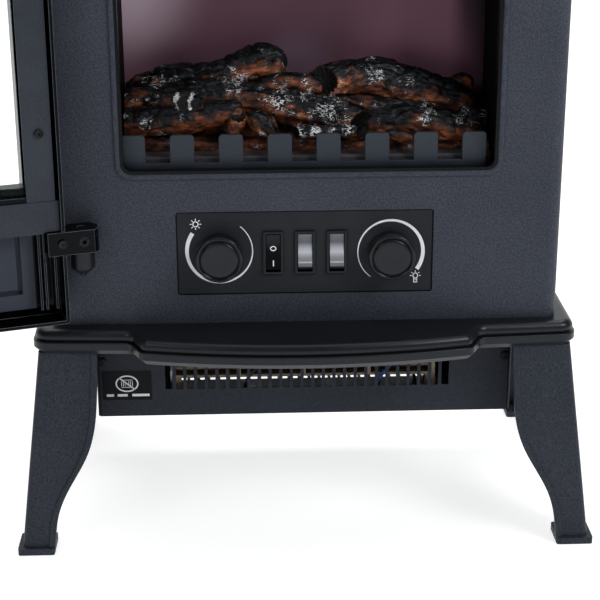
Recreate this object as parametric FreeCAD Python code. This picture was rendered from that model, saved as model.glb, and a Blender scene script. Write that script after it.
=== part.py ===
import FreeCAD, Part
import math
import os

# Freestanding electric stove: a steel cabinet with a log effect behind a window, a hinged
# door, a control plate, a fan heater in a housing under the plinth, and four splayed legs.
# Millimetres. +X right, +Y to the back, +Z up. Pieces are drawn about the centre of the four
# feet, at floor level, with the door open, and then moved so that the origin is in the middle
# of the floor area that the whole stove covers.

V = FreeCAD.Vector
X = V(1, 0, 0)
Y = V(0, 1, 0)
Z = V(0, 0, 1)

# Driving dimensions
sheet = 1.0
running_clearance = 0.05
seat_gap = 0.1
board_gap = 0.3
cabinet_width = 351.2
cabinet_depth = 215.0
cabinet_height = 343.5
cabinet_corner = 9.0
cabinet_flange = 12.0
leg_height = 151.0
leg_side_inset = 3.1
leg_end_inset = 0.7
leg_splay = 19.4
leg_lean = 9.5
leg_wall = 3.0
leg_shin = 23.1
leg_swell = 15.75
leg_taper = 13.7
leg_knee = 0.384
leg_knee_slope = 5.4
leg_bead_width = 4.5
leg_bead_height = 1.2
foot_height = 5.0
foot_lip = 2.5
plinth_thickness = 17.5
plinth_overhang = 12.9
plinth_front_overhang = 8.7
plinth_wall = 3.0
plinth_corner = 12.0
plinth_band_height = 9.2
plinth_groove_height = 1.7
plinth_groove_depth = 3.4
plinth_nose_inset = 1.5
plinth_nose_radius = 5.2
plinth_undercut = 4.0
plinth_corner_lead = 3.2
plinth_notch_lead = 7.8
hearth_half_width = 112.5
hearth_flare = 8.0
hearth_root = 18.6
hearth_reach = 32.4
hearth_neck_radius = 7.0
top_thickness = 28.0
window_shift = 3.2
window_side_margin = 49.1
window_sill = 106.5
window_head_margin = 37.0
window_corner = 7.0
bead_width = 4.0
bead_height = 1.6
trim_width = 2.0
trim_depth = 6.0
shelf_drop = 7.0
shelf_setback = 7.5
firebox_depth = 85.0
screen_thickness = 3.0
fence_setback = 9.5
fence_thickness = 3.0
fence_tabs = 8
fence_pitch = 32.9
fence_tab_width = 16.2
fence_rail_height = 12.0
fence_tab_height = 31.1
control_centre = 50.0
control_width = 175.6
control_height = 59.3
control_corner = 2.0
control_border = 5.0
control_plate_thickness = 1.5
knob_half_spacing = 58.5
knob_radius = 16.9
knob_face_radius = 11.4
knob_height = 18.3
knob_wall = 1.6
knob_lift = 0.6
shaft_radius = 3.0
bushing_radius = 4.8
bushing_length = 8.0
rocker_count = 3
rocker_pitch = 21.8
bezel_width = 14.2
bezel_height = 31.0
bezel_thickness = 1.8
bezel_rim = 2.0
switch_depth = 24.0
rocker_clearance = 0.35
rocker_swing = 24.0
door_overlap = 14.5
door_thickness = 20.0
door_foot_gap = 10.5
door_head_gap = 20.0
door_panel_gap = 3.0
door_wall = 2.4
door_open = 162.0
door_corner = 2.6
door_glass_border = 24.6
door_glass_thickness = 4.0
door_stile_width = 19.0
door_rail_height = 22.0
door_rail_drop = 10.7
hinge_edge_gap = 12.6
hinge_standoff = 12.6
hinge_head_radius = 11.6
hinge_arm_height = 16.0
hinge_arm_reach = 24.4
hinge_inset = 48.0
knuckle_radius = 8.3
knuckle_height = 15.2
pin_radius = 2.5
housing_height = 60.0
housing_side_inset = 26.9
housing_setback = 18.5
housing_rear_inset = 15.0
slot_count = 27
slot_pitch = 7.63
slot_width = 5.3
slot_height = 26.0
slot_foot = 20.3
slot_shift = 2.1
rotor_radius = 21.0
rotor_length = 176.0
rotor_setback = 66.0
rotor_blades = 24
rotor_shift = -8.0
fan_shaft_radius = 2.5
scroll_gap = 3.0
element_length = 190.0
element_height = 31.0
element_setback = 8.0
element_lift = 25.0
element_depth = 14.0
coil_radius = 3.0
coil_rows = 3
spindle_height = 34.0
spindle_setback = 35.0
spindle_end_room = 19.5
spindle_rod_radius = 2.0
spindle_fins = 12
fin_reach = 13.0
lamp_setback = 74.0
lamp_radius = 17.5
lamp_length = 98.0
screw_radius = 1.7
screw_head_radius = 3.0
screw_head_height = 1.8
screw_length = 8.0

# Derived places
front_y = -cabinet_depth / 2
rear_y = cabinet_depth / 2
side_x = cabinet_width / 2
cabinet_bottom = leg_height + plinth_thickness
cabinet_top = cabinet_bottom + cabinet_height
leg_top_half_width = side_x + plinth_overhang - leg_side_inset
leg_top_half_depth = rear_y + plinth_front_overhang - leg_end_inset
overall_height = cabinet_top + top_thickness
panel_back = front_y + sheet
window_width = cabinet_width - 2 * window_side_margin
window_left = window_shift - window_width / 2
window_right = window_shift + window_width / 2
window_bottom = cabinet_bottom + window_sill
window_top = cabinet_top - window_head_margin
shelf_top = window_bottom - shelf_drop
shelf_bottom = shelf_top - sheet
firebox_left = window_left - sheet
firebox_right = window_right + sheet
firebox_top = window_top + 4 * sheet
shroud_front = panel_back + trim_depth
screen_front = front_y + firebox_depth
screen_back = screen_front + screen_thickness
control_z = cabinet_bottom + control_centre
plate_front = panel_back + seat_gap
plate_back = plate_front + control_plate_thickness
knob_x = (-knob_half_spacing, knob_half_spacing)
control_back = plate_back + 20
rocker_x = [(i - (rocker_count - 1) / 2) * rocker_pitch for i in range(rocker_count)]
door_left = window_left - door_overlap
door_right = window_right + door_overlap
door_inner = front_y - door_panel_gap
door_outer = door_inner - door_thickness
door_bottom = cabinet_bottom + door_foot_gap
door_top = cabinet_top - door_head_gap
hinge_x = door_left - hinge_edge_gap
hinge_y = front_y - hinge_standoff
lower_arm_z = door_bottom + hinge_inset
upper_arm_z = door_top - hinge_inset - hinge_arm_height
rail_top = window_bottom - door_rail_drop
rail_bottom = rail_top - door_rail_height
housing_bottom = leg_height - housing_height
plinth_ceiling = cabinet_bottom - plinth_wall - 2.0
housing_front = front_y + housing_setback
housing_back = rear_y - housing_rear_inset
housing_half_width = side_x - housing_side_inset
rotor_y = housing_front + rotor_setback
rotor_z = housing_bottom + housing_height / 2
rotor_left = rotor_shift - rotor_length / 2
rotor_right = rotor_shift + rotor_length / 2
element_bottom = housing_bottom + element_lift
spindle_z = shelf_top + spindle_height
spindle_y = screen_back + spindle_setback
spindle_left = window_left + spindle_end_room
spindle_right = window_right - spindle_end_room
lamp_y = screen_back + lamp_setback


# Shape helpers
def block(x0, x1, y0, y1, z0, z1):
    """Box between two corners."""
    return Part.makeBox(x1 - x0, y1 - y0, z1 - z0, V(x0, y0, z0))


def rod(start, direction, radius, length):
    """Cylinder from its start point along a direction."""
    return Part.makeCylinder(radius, length, start, direction)


def pipe(start, direction, outer, inner, length):
    """Hollow cylinder."""
    return rod(start, direction, outer, length).cut(rod(start, direction, inner, length))


def joined(shapes):
    """One body from pieces that overlap or share faces."""
    body = shapes[0].multiFuse(list(shapes[1:]))
    return body.removeSplitter()


def without(body, tools):
    """The body less every tool."""
    return body.cut(list(tools))


def corner_edges(points, radii, closed=True):
    """Straight runs with a tangent arc of the given radius at each corner."""
    count = len(points)
    edges = []
    cursor = None
    first = None
    for i in range(count):
        here = points[i]
        inner = closed or 0 < i < count - 1
        radius = radii[i] if inner else 0.0
        enter = here
        leave = here
        arc = None
        if radius > 0:
            back = (points[i - 1] - here).normalize()
            ahead = (points[(i + 1) % count] - here).normalize()
            half = back.getAngle(ahead) / 2
            enter = here + back * (radius / math.tan(half))
            leave = here + ahead * (radius / math.tan(half))
            towards = (back + ahead).normalize()
            middle = here + towards * (radius / math.sin(half) - radius)
            arc = Part.Arc(enter, middle, leave).toShape()
        if cursor is not None and cursor.distanceToPoint(enter) > 1e-6:
            edges.append(Part.LineSegment(cursor, enter).toShape())
        if first is None:
            first = enter
        if arc is not None:
            edges.append(arc)
        cursor = leave
    if closed and cursor.distanceToPoint(first) > 1e-6:
        edges.append(Part.LineSegment(cursor, first).toShape())
    return edges


def prism(points, radii, depth):
    """Flat outline with rounded corners, carried along a vector."""
    if not isinstance(radii, (list, tuple)):
        radii = [radii] * len(points)
    wire = Part.Wire(corner_edges(points, radii))
    return Part.Face(wire).extrude(depth)


def slab(x0, x1, y0, y1, z0, z1, radius):
    """Plate lying flat, with rounded corners in plan."""
    corners = [V(x0, y0, z0), V(x1, y0, z0), V(x1, y1, z0), V(x0, y1, z0)]
    return prism(corners, radius, V(0, 0, z1 - z0))


def panel(x0, x1, z0, z1, y0, y1, radius):
    """Upright plate facing front, with rounded corners in elevation."""
    corners = [V(x0, y0, z0), V(x1, y0, z0), V(x1, y0, z1), V(x0, y0, z1)]
    return prism(corners, radius, V(0, y1 - y0, 0))


def rounded(body, radius, chosen):
    """Fillet the edges whose middle point passes a test."""
    edges = [e for e in body.Edges if chosen(e.BoundBox.Center, e)]
    return body.makeFillet(radius, edges)


def screw(head_at, direction, length=screw_length):
    """Pan-head screw: the underside of its head is at head_at and the shank runs along direction."""
    head = rod(head_at, direction * -1, screw_head_radius, screw_head_height)
    shank = rod(head_at, direction, screw_radius, length)
    recess = rod(head_at - direction * screw_head_height, direction, screw_radius / 2, 1.0)
    return joined([head, shank]).cut(recess)


def screw_hole(head_at, direction, length=screw_length):
    """Clearance hole for one screw, as deep as its shank."""
    return rod(head_at - direction, direction, screw_radius + running_clearance, length + 2.0)


def lead(points, radius):
    """Insulated wire along straight runs joined by bends as large as the runs allow."""
    bends = [0.0]
    for before, here, after in zip(points, points[1:], points[2:]):
        turn = (here - before).getAngle(after - here)
        bends.append(0.45 * min((here - before).Length, (after - here).Length) / math.tan(turn / 2))
    path = Part.Wire(corner_edges(points, bends + [0.0], closed=False))
    circle = Part.Circle(points[0], points[1] - points[0], radius).toShape()
    return path.makePipeShell([Part.Wire(circle)], True, False)


def quadrant(shape, right, rear):
    """A front-right piece placed in one of the four corners."""
    placed = shape
    if not right:
        placed = placed.mirror(V(0, 0, 0), X)
    if rear:
        placed = placed.mirror(V(0, 0, 0), Y)
    return placed


# Screw places shared by the pieces that each screw holds together
rear_screw_x = side_x - sheet - cabinet_flange / 2
rear_screw_points = [
    V(side * rear_screw_x, rear_y, z)
    for side in (-1, 1)
    for z in (cabinet_bottom + 30, (cabinet_bottom + cabinet_top) / 2, cabinet_top - 30)
]
outlet_screw_points = [V(side * (housing_half_width - 5), housing_front,
                         leg_height - 18) for side in (-1, 1)]
leg_screw_inset = 24.0
leg_plate_thickness = 3.0
leg_pad = 40.0
leg_screw_points = [
    V(sx * (leg_top_half_width - leg_screw_inset), sy * (leg_top_half_depth - leg_screw_inset),
      leg_height - leg_plate_thickness)
    for sx in (-1, 1)
    for sy in (-1, 1)
]
stile_screw_z = [window_bottom + 35, window_top - 60]
stile_screw_inset = 13.0
retainer_back = door_inner - 3.5
retainer_front = retainer_back - 1.2
glass_back = retainer_front - seat_gap
glass_front = glass_back - door_glass_thickness
door_face_back = door_outer + door_wall


# Cabinet
def cabinet_shell():
    """Front and both sides folded from one sheet, with a window, a rolled bead and rear flanges."""
    outer = slab(-side_x, side_x, front_y, rear_y, cabinet_bottom, cabinet_top,
                 [cabinet_corner, cabinet_corner, 0, 0])
    inner = slab(-side_x + sheet, side_x - sheet, panel_back, rear_y + 1, cabinet_bottom - 1,
                 cabinet_top + 1,
                 [cabinet_corner - sheet, cabinet_corner - sheet, 0, 0])
    shell = outer.cut(inner)
    flange_back = rear_y - sheet - seat_gap
    flanges = []
    for side in (-1, 1):
        edge = side * (side_x - sheet / 2)
        lip = side * (side_x - sheet - cabinet_flange)
        flanges.append(block(min(edge, lip), max(edge, lip), flange_back - sheet, flange_back,
                             cabinet_bottom, cabinet_top))
    reach = bead_width
    bead = panel(window_left - reach, window_right + reach, window_bottom - reach, window_top + reach,
                 front_y - bead_height, panel_back, window_corner + reach)
    opening = panel(window_left, window_right, window_bottom, window_top,
                    front_y - bead_height - 1, panel_back + 1, window_corner)
    bead = bead.cut(opening)
    bead = rounded(bead, bead_height * 0.9, lambda c, e: e.BoundBox.YMax < front_y - bead_height + 0.01)
    shell = joined([shell, bead] + flanges)
    half = control_width / 2
    plate_hole = panel(-half, half, control_z - control_height / 2, control_z + control_height / 2,
                       front_y - 1, panel_back + 1, control_corner)
    tools = [opening, plate_hole]
    tools += [screw_hole(p, -Y) for p in rear_screw_points]
    return without(shell, tools)


lead_hole_x = housing_half_width - 40
lead_hole_y = 40.0
lead_hole_radius = 12.0
vent_slots = 14
vent_pitch = 10.0
vent_width = 4.5
vent_height = 30.0
gland_x = -side_x + 50
gland_z = cabinet_bottom + 40
gland_radius = 7.0


def rear_cover():
    """Back sheet with two rows of vents and the hole for the mains gland."""
    cover = block(-side_x + sheet + board_gap, side_x - sheet - board_gap, rear_y - sheet, rear_y,
                  cabinet_bottom + board_gap, cabinet_top - board_gap)
    tools = [screw_hole(p, -Y) for p in rear_screw_points]
    tools.append(rod(V(gland_x, rear_y - 2, gland_z), Y, gland_radius + seat_gap, 4))
    for base in (cabinet_bottom + 70, cabinet_top - 60):
        for i in range(vent_slots):
            x = (i - (vent_slots - 1) / 2) * vent_pitch
            tools.append(panel(x - vent_width / 2, x + vent_width / 2, base, base + vent_height,
                               rear_y - 2, rear_y + 1, vent_width / 2 - 0.05))
    return without(cover, tools)


def cabinet_screws():
    """Screws of one size: the back sheet, the slotted front and the legs."""
    screws = [screw(p, -Y) for p in rear_screw_points]
    screws += [screw(p, Y) for p in outlet_screw_points]
    screws += [screw(p, Z, 12.0) for p in leg_screw_points]
    return Part.makeCompound(screws)


def cable_gland():
    """Nylon bush that grips the mains lead where it enters the back."""
    flange = rod(V(gland_x, rear_y, gland_z), Y, gland_radius + 3, 3)
    body = rod(V(gland_x, rear_y - 12, gland_z), Y, gland_radius, 12)
    return joined([flange, body]).cut(rod(V(gland_x, rear_y - 14, gland_z), Y, 3.6, 20))


def top_cover():
    """Moulded lid: a pillow-edged slab over a narrower neck, hollow underneath."""
    wide = side_x + plinth_overhang
    front = front_y - plinth_front_overhang
    back = rear_y + plinth_front_overhang
    inset = plinth_overhang * 0.4
    shoulder = cabinet_top + top_thickness * 0.35
    neck = slab(-wide + inset, wide - inset, front + inset, back - inset, cabinet_top, shoulder + 1,
                plinth_corner)
    cap = slab(-wide, wide, front, back, shoulder, overall_height, plinth_corner)
    cap = rounded(cap, 7.0, lambda c, e: e.BoundBox.ZMin > overall_height - 0.01)
    cap = rounded(cap, 2.0, lambda c, e: e.BoundBox.ZMax < shoulder + 0.01)
    wall = plinth_wall + plinth_overhang
    hollow = slab(-wide + wall, wide - wall, front + wall, back - wall,
                  cabinet_top + plinth_wall, overall_height - plinth_wall, plinth_corner - plinth_wall)
    mouth = slab(-side_x + 16, side_x - 16, front_y + 16, rear_y - 16, cabinet_top - 1,
                 cabinet_top + plinth_wall + 1, plinth_corner)
    return without(joined([neck, cap]), [hollow, mouth])


# Plinth and legs
def plinth_prism():
    """Plan of the plinth, 1 mm thick: a rounded slab with a bowed hearth on two curved necks."""
    wide = side_x + plinth_overhang
    front = front_y - plinth_front_overhang
    back = rear_y + plinth_front_overhang
    root_y = front - plinth_notch_lead
    chord_y = root_y - hearth_root
    foot = hearth_half_width + hearth_flare
    slab_points = [
        V(-wide, back, 0), V(-wide, front - plinth_corner_lead, 0), V(-foot, root_y, 0),
        V(foot, root_y, 0), V(wide, front - plinth_corner_lead, 0), V(wide, back, 0), V(-wide, back, 0),
    ]
    slab_plan = Part.Face(Part.makePolygon(slab_points)).extrude(Z)
    left = V(-hearth_half_width, chord_y, 0)
    right = V(hearth_half_width, chord_y, 0)
    bow_edges = [
        Part.LineSegment(V(-foot, root_y, 0), left).toShape(),
        Part.Arc(left, V(0, root_y - hearth_reach, 0), right).toShape(),
        Part.LineSegment(right, V(foot, root_y, 0)).toShape(),
        Part.LineSegment(V(foot, root_y, 0), V(foot, root_y + 9, 0)).toShape(),
        Part.LineSegment(V(foot, root_y + 9, 0), V(-foot, root_y + 9, 0)).toShape(),
        Part.LineSegment(V(-foot, root_y + 9, 0), V(-foot, root_y, 0)).toShape(),
    ]
    bow_plan = Part.Face(Part.Wire(bow_edges)).extrude(Z)
    plan = joined([slab_plan, bow_plan])

    def upright(e, x, y):
        box = e.BoundBox
        return box.ZLength > 0.5 and abs(abs(box.Center.x) - x) < 0.5 and abs(box.Center.y - y) < 0.5

    plan = rounded(plan, plinth_corner, lambda c, e: upright(e, wide, back))
    plan = rounded(plan, plinth_corner, lambda c, e: upright(e, wide, front - plinth_corner_lead))
    plan = rounded(plan, hearth_neck_radius, lambda c, e: upright(e, foot, root_y))
    return rounded(plan, hearth_neck_radius, lambda c, e: upright(e, hearth_half_width, chord_y))


def plinth_layer(plan, inset, z0, z1):
    """Slab between two heights over the plinth's plan, drawn in by an inset."""
    low = min(plan.Faces, key=lambda f: f.CenterOfMass.z)
    outline = low.OuterWire
    if inset:
        outline = outline.makeOffset2D(-inset)
    face = Part.Face(outline)
    face.translate(V(0, 0, z0))
    return face.extrude(V(0, 0, z1 - z0))


def plinth():
    """Moulded base: a rounded nose, a groove and a band drawn in below; hollow but for four leg pads."""
    wide = side_x + plinth_overhang
    plan = plinth_prism()
    band_top = leg_height + plinth_band_height
    nose_low = band_top + plinth_groove_height
    band = plinth_layer(plan, 0, leg_height, band_top)
    band = band.makeChamfer(plinth_undercut, [e for e in band.Edges if e.BoundBox.ZMax < leg_height + 0.01])
    band = rounded(band, 0.8, lambda c, e: e.BoundBox.ZMin > band_top - 0.01)
    waist = plinth_layer(plan, plinth_groove_depth, band_top - 1, nose_low + 1)
    nose = plinth_layer(plan, plinth_nose_inset, nose_low, cabinet_bottom)
    nose = rounded(nose, plinth_nose_radius, lambda c, e: e.BoundBox.ZMin > cabinet_bottom - 0.01)
    nose = rounded(nose, 0.5, lambda c, e: e.BoundBox.ZMax < nose_low + 0.01)
    body = joined([band, waist, nose])
    ceiling = plinth_ceiling
    hollow = plinth_layer(plan, plinth_undercut + plinth_wall, leg_height - 1, ceiling)
    pads = []
    for right in (False, True):
        for rear in (False, True):
            pad = block(housing_half_width + 1.5, wide, -(rear_y + plinth_front_overhang + 20),
                        -(leg_top_half_depth - leg_pad), leg_height - 2, ceiling + 1)
            pads.append(quadrant(pad, right, rear))
    tools = [without(hollow, pads)]
    tools.append(rod(V(lead_hole_x, lead_hole_y, ceiling - 1), Z, lead_hole_radius, 20))
    tools += [screw_hole(p, Z, 14.0) for p in leg_screw_points]
    return without(body, tools)


def leg_half_width(z):
    """Outer side of a leg from the centre line at a height."""
    return leg_top_half_width + leg_splay * (1 - z / leg_height)


def leg_half_depth(z):
    """Outer front of a leg from the centre line at a height."""
    return leg_top_half_depth + leg_lean * (1 - z / leg_height)


def leg_breadth(z):
    """Width of each leg wall: a slim shin that swells smoothly into a broad top."""
    share = z / leg_height
    return leg_shin - leg_taper * share + leg_swell * (1 + math.tanh((share - leg_knee) * leg_knee_slope))


def leg_section(z):
    """L-shaped section of the front-right leg at a height, with a bead along each free edge."""
    w = leg_breadth(z)
    t = leg_wall
    b = leg_bead_width
    h = leg_bead_height
    corner_x = leg_half_width(z)
    corner_y = -leg_half_depth(z)
    flat = [
        (0, 0), (w - b, 0), (w - b, -h), (w, -h), (w, t),
        (t, t), (t, w), (-h, w), (-h, w - b), (0, w - b),
    ]
    points = [V(corner_x - p, corner_y + q, z) for p, q in flat]
    radii = [4.0, 0.4, 0.5, 0.5, 0.5, 1.5, 0.5, 0.5, 0.5, 0.4]
    return Part.Wire(corner_edges(points, radii))


def leg():
    """Front-right leg: an angle-section shell with a flat foot and a bolting plate at its top."""
    sections = 9
    wires = [leg_section(leg_height * i / (sections - 1)) for i in range(sections)]
    shell = Part.makeLoft(wires, True, False)
    half = leg_half_width(0)
    deep = leg_half_depth(0)
    shin = leg_breadth(0)
    foot = slab(half - shin, half + foot_lip, -deep - foot_lip, -deep + shin, 0, foot_height, 2.0)
    plate_z = leg_height - leg_plate_thickness
    reach = leg_breadth(leg_height) - 2
    top_x = leg_half_width(leg_height)
    top_y = leg_half_depth(leg_height)
    inside = leg_wall / 2
    plate = block(housing_half_width + 1.5, top_x - inside, -top_y + inside, -top_y + reach, plate_z,
                  leg_height)
    hole_at = V(leg_top_half_width - leg_screw_inset, -(leg_top_half_depth - leg_screw_inset), plate_z)
    return joined([shell, foot, plate]).cut(screw_hole(hole_at, Z))


# Fire effect
def window_trim():
    """Black gasket that lines the window's edge."""
    gap = seat_gap
    outer = panel(window_left + gap, window_right - gap, window_bottom + gap, window_top - gap,
                  front_y - 0.6, panel_back + trim_depth - gap, window_corner - gap)
    inner = panel(window_left + trim_width, window_right - trim_width, window_bottom + trim_width,
                  window_top - trim_width, front_y - 2, panel_back + trim_depth + 1,
                  window_corner - trim_width + 0.5)
    return outer.cut(inner)


def firebox_shroud():
    """Folded sheet round the fire: two sides and a top, with flanges against the front panel."""
    outer = block(firebox_left - sheet, firebox_right + sheet, shroud_front, screen_front - seat_gap,
                  shelf_top + seat_gap, firebox_top + sheet)
    inner = block(firebox_left, firebox_right, shroud_front - 1, screen_front + 1,
                  shelf_top - 1, firebox_top)
    flange = block(firebox_left - 14, firebox_right + 14, panel_back + seat_gap,
                   panel_back + seat_gap + sheet,
                   shelf_top + seat_gap, firebox_top + 12)
    collar = block(firebox_left - sheet, firebox_right + sheet, panel_back + seat_gap, shroud_front + 1,
                   shelf_top + seat_gap, firebox_top + sheet)
    hollow = block(firebox_left, firebox_right, panel_back - 1, screen_front + 1, shelf_top - 1,
                   firebox_top)
    return joined([outer.cut(inner), collar, flange]).cut(hollow)


def fire_shelf():
    """Shelf that carries the logs, the lamps and the flame drive, folded up at its back."""
    gap = board_gap
    back = rear_y - 2 * sheet - 2 * seat_gap - gap
    plate = block(-side_x + sheet + gap, side_x - sheet - gap, panel_back + shelf_setback, back,
                  shelf_bottom, shelf_top)
    tab = block(-side_x + sheet + gap, side_x - sheet - gap, back - sheet, back, shelf_bottom - 15,
                shelf_top)
    ends = []
    for side in (-1, 1):
        outer = side * (side_x - sheet - gap)
        inner = outer - side * sheet
        ends.append(block(min(outer, inner), max(outer, inner), panel_back + shelf_setback, back,
                          shelf_bottom - 15, shelf_top))
    return joined([plate, tab] + ends)


def ember_fence():
    """Fret in front of the logs: a rail with a row of upright tabs."""
    y0 = front_y + fence_setback
    y1 = y0 + fence_thickness
    half = ((fence_tabs - 1) * fence_pitch + fence_tab_width) / 2
    rail_top_z = shelf_top + fence_rail_height
    low = shelf_top + seat_gap
    rail = block(-half, half, y0, y1, low, rail_top_z)
    pieces = [rail]
    for i in range(fence_tabs):
        x = (i - (fence_tabs - 1) / 2) * fence_pitch
        w = fence_tab_width / 2
        top = shelf_top + fence_tab_height
        corners = [V(x - w, y0, rail_top_z - 1), V(x + w, y0, rail_top_z - 1), V(x + w, y0, top),
                   V(x - w, y0, top)]
        pieces.append(prism(corners, [0, 0, 2.5, 2.5], V(0, y1 - y0, 0)))
    foot = block(-half, half, y0, y1 + 12, low, low + 2)
    return joined(pieces + [foot])


log_spans = [
    # x start, y offset, height, radius, then x end, y offset, height, radius
    (-118, 40, 42, 16, 4, 34, 64, 13),
    (-70, 52, 52, 12, -24, 50, 78, 11),
    (-22, 36, 60, 14, 118, 42, 34, 12),
    (4, 56, 46, 13, 66, 54, 66, 12),
    (74, 54, 28, 10, 112, 56, 60, 8),
    (-112, 27, 24, 11, -30, 30, 38, 12),
    (18, 28, 34, 12, 96, 28, 22, 10),
]


def log_set():
    """Moulded fuel bed: a ledge, a bed of embers and crossed logs, cast as one piece."""
    base_front = front_y + fence_setback + fence_thickness + 15
    base_back = screen_front - 4
    low = shelf_top + seat_gap
    bed = block(firebox_left + 2, firebox_right - 2, base_front, base_back, low, low + 18)
    heap = prism([V(firebox_left + 4, base_front + 4, low + 17), V(firebox_left + 4, base_back, low + 17),
                  V(firebox_left + 4, base_back, low + 34)], 0, V(firebox_right - firebox_left - 8, 0, 0))
    scale = (firebox_right - firebox_left) / 255.0
    logs = []
    for x0, y0, z0, r0, x1, y1, z1, r1 in log_spans:
        start = V(x0 * scale + window_shift * (scale - 1), front_y + y0, shelf_top + z0)
        end = V(x1 * scale, front_y + y1, shelf_top + z1)
        logs.append(Part.makeCone(r0, r1, start.distanceToPoint(end), start, end - start))
    return joined([bed, heap] + logs)


def flame_screen():
    """Frosted panel on which the flames show."""
    return block(firebox_left, firebox_right, screen_front, screen_back, shelf_top + seat_gap, firebox_top)


def flame_stencil():
    """Sheet behind the screen with tongue-shaped openings that shape the light."""
    y0 = screen_back + 5
    plate = block(firebox_left, firebox_right, y0, y0 + sheet, shelf_top + seat_gap, firebox_top)
    foot = block(firebox_left, firebox_right, y0, y0 + 10, shelf_top + seat_gap,
                 shelf_top + seat_gap + sheet)
    tongues = []
    count = 5
    pitch = (firebox_right - firebox_left) / count
    for i in range(count):
        x = firebox_left + pitch * (i + 0.5)
        lean = pitch * 0.18 * (-1) ** i
        top = shelf_top + 120 - 26 * abs(i - (count - 1) / 2)
        low = shelf_top + 24
        outline = [V(x - pitch * 0.22, y0 - 1, low), V(x + pitch * 0.22, y0 - 1, low), V(x + lean,
                                                                                         y0 - 1, top)]
        tongues.append(prism(outline, [3, 3, 2], V(0, 3, 0)))
    return without(joined([plate, foot]), tongues)


def flicker_spindle():
    """Turning rod with rows of bright fins that throw moving light on the screen."""
    start = V(spindle_left, spindle_y, spindle_z)
    pieces = [rod(start, X, spindle_rod_radius, spindle_right - spindle_left)]
    pitch = (spindle_right - spindle_left - 24) / spindle_fins
    for i in range(spindle_fins):
        x = spindle_left + 12 + pitch * (i + 0.5)
        fin = block(x - pitch * 0.36, x + pitch * 0.36, spindle_y - fin_reach, spindle_y + fin_reach,
                    spindle_z - 0.4, spindle_z + 0.4)
        fin.rotate(V(x, spindle_y, spindle_z), X, 55.0 * i)
        pieces.append(fin)
    return joined(pieces)


def spindle_motor():
    """Small geared synchronous motor whose hollow shaft turns the rod."""
    x1 = spindle_left - 3
    can = rod(V(x1 - 18, spindle_y, spindle_z), X, 22.0, 14.0)
    boss = rod(V(x1 - 5, spindle_y, spindle_z), X, 6.0, 6.0)
    socket = rod(V(x1 - 6, spindle_y, spindle_z), X, spindle_rod_radius + 0.5, 12)
    neck = pipe(V(x1 - 2, spindle_y, spindle_z), X, 4.5, spindle_rod_radius + running_clearance, 7)
    return joined([without(joined([can, boss]), [socket]), neck])


def spindle_supports():
    """Two upright brackets on the shelf, and the bush that carries the rod's free end."""
    low = shelf_top
    left_x = spindle_left - 21 - seat_gap
    right_x = spindle_right - 6
    left = block(left_x - sheet, left_x, spindle_y - 24, spindle_y + 24, low, spindle_z + 24)
    left_foot = block(left_x - 14, left_x, spindle_y - 24, spindle_y + 24, low, low + sheet)
    right = block(right_x, right_x + sheet, spindle_y - 12, spindle_y + 12, low, spindle_z + 12)
    right_foot = block(right_x, right_x + 14, spindle_y - 12, spindle_y + 12, low, low + sheet)
    bore = rod(V(right_x - 1, spindle_y, spindle_z), X, 3.5, 4)
    start = V(right_x - 2, spindle_y, spindle_z)
    bush = joined([rod(start, X, 5.0, 2 - seat_gap), rod(start, X, 3.5 - seat_gap, 5)])
    bush = bush.cut(rod(start - X, X, spindle_rod_radius + running_clearance, 9))
    return Part.makeCompound([joined([left, left_foot]), joined([right, right_foot]).cut(bore), bush])


def lamp_bracket():
    """Folded plate behind the lamps, with an ear at each end for a lamp holder."""
    back = lamp_y + lamp_radius + 6
    ends = (firebox_left + 2, firebox_right - 2)
    plate = block(ends[0], ends[1], back, back + sheet, shelf_top, shelf_top + 70)
    foot = block(ends[0], ends[1], back, back + 12, shelf_top, shelf_top + sheet)
    pieces = [plate, foot]
    for x in (ends[0], ends[1] - sheet):
        pieces.append(block(x, x + sheet, lamp_y - 14, back + sheet / 2, shelf_top, shelf_top + 52))
    return joined(pieces)


def lamp_side(side, radius, length, start):
    """Cylinder on a lamp's axis, measured inwards from its ear."""
    ear = firebox_left + 2 + sheet if side < 0 else firebox_right - 2 - sheet
    at = V(ear - side * (start + seat_gap), lamp_y, spindle_z)
    return rod(at, X * -side, radius, length)


def lamp_holders():
    """Two screw-in lamp holders on the bracket's ears."""
    holders = []
    for side in (-1, 1):
        body = lamp_side(side, 11.0, 22.0, 0)
        holders.append(body.cut(lamp_side(side, 7.6, 20.0, 4.0)))
    return Part.makeCompound(holders)


def flame_lamps():
    """Two small candle lamps that face each other behind the spindle."""
    lamps = []
    for side in (-1, 1):
        cap = lamp_side(side, 7.5, 20.0, 4.3)
        length = lamp_length - 24
        swell = lamp_side(side, lamp_radius, length * 0.45, 34)
        ear = firebox_left + 2 + sheet if side < 0 else firebox_right - 2 - sheet
        axis = X * -side
        neck_at = V(ear - side * (24 + seat_gap), lamp_y, spindle_z)
        neck = Part.makeCone(7.0, lamp_radius, 10, neck_at, axis)
        tip_at = V(ear - side * (34 + length * 0.45 + seat_gap), lamp_y, spindle_z)
        tip = Part.makeCone(lamp_radius, 3.0, length * 0.5, tip_at, axis)
        lamps.append(joined([cap, neck, swell, tip]))
    return Part.makeCompound(lamps)


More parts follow.
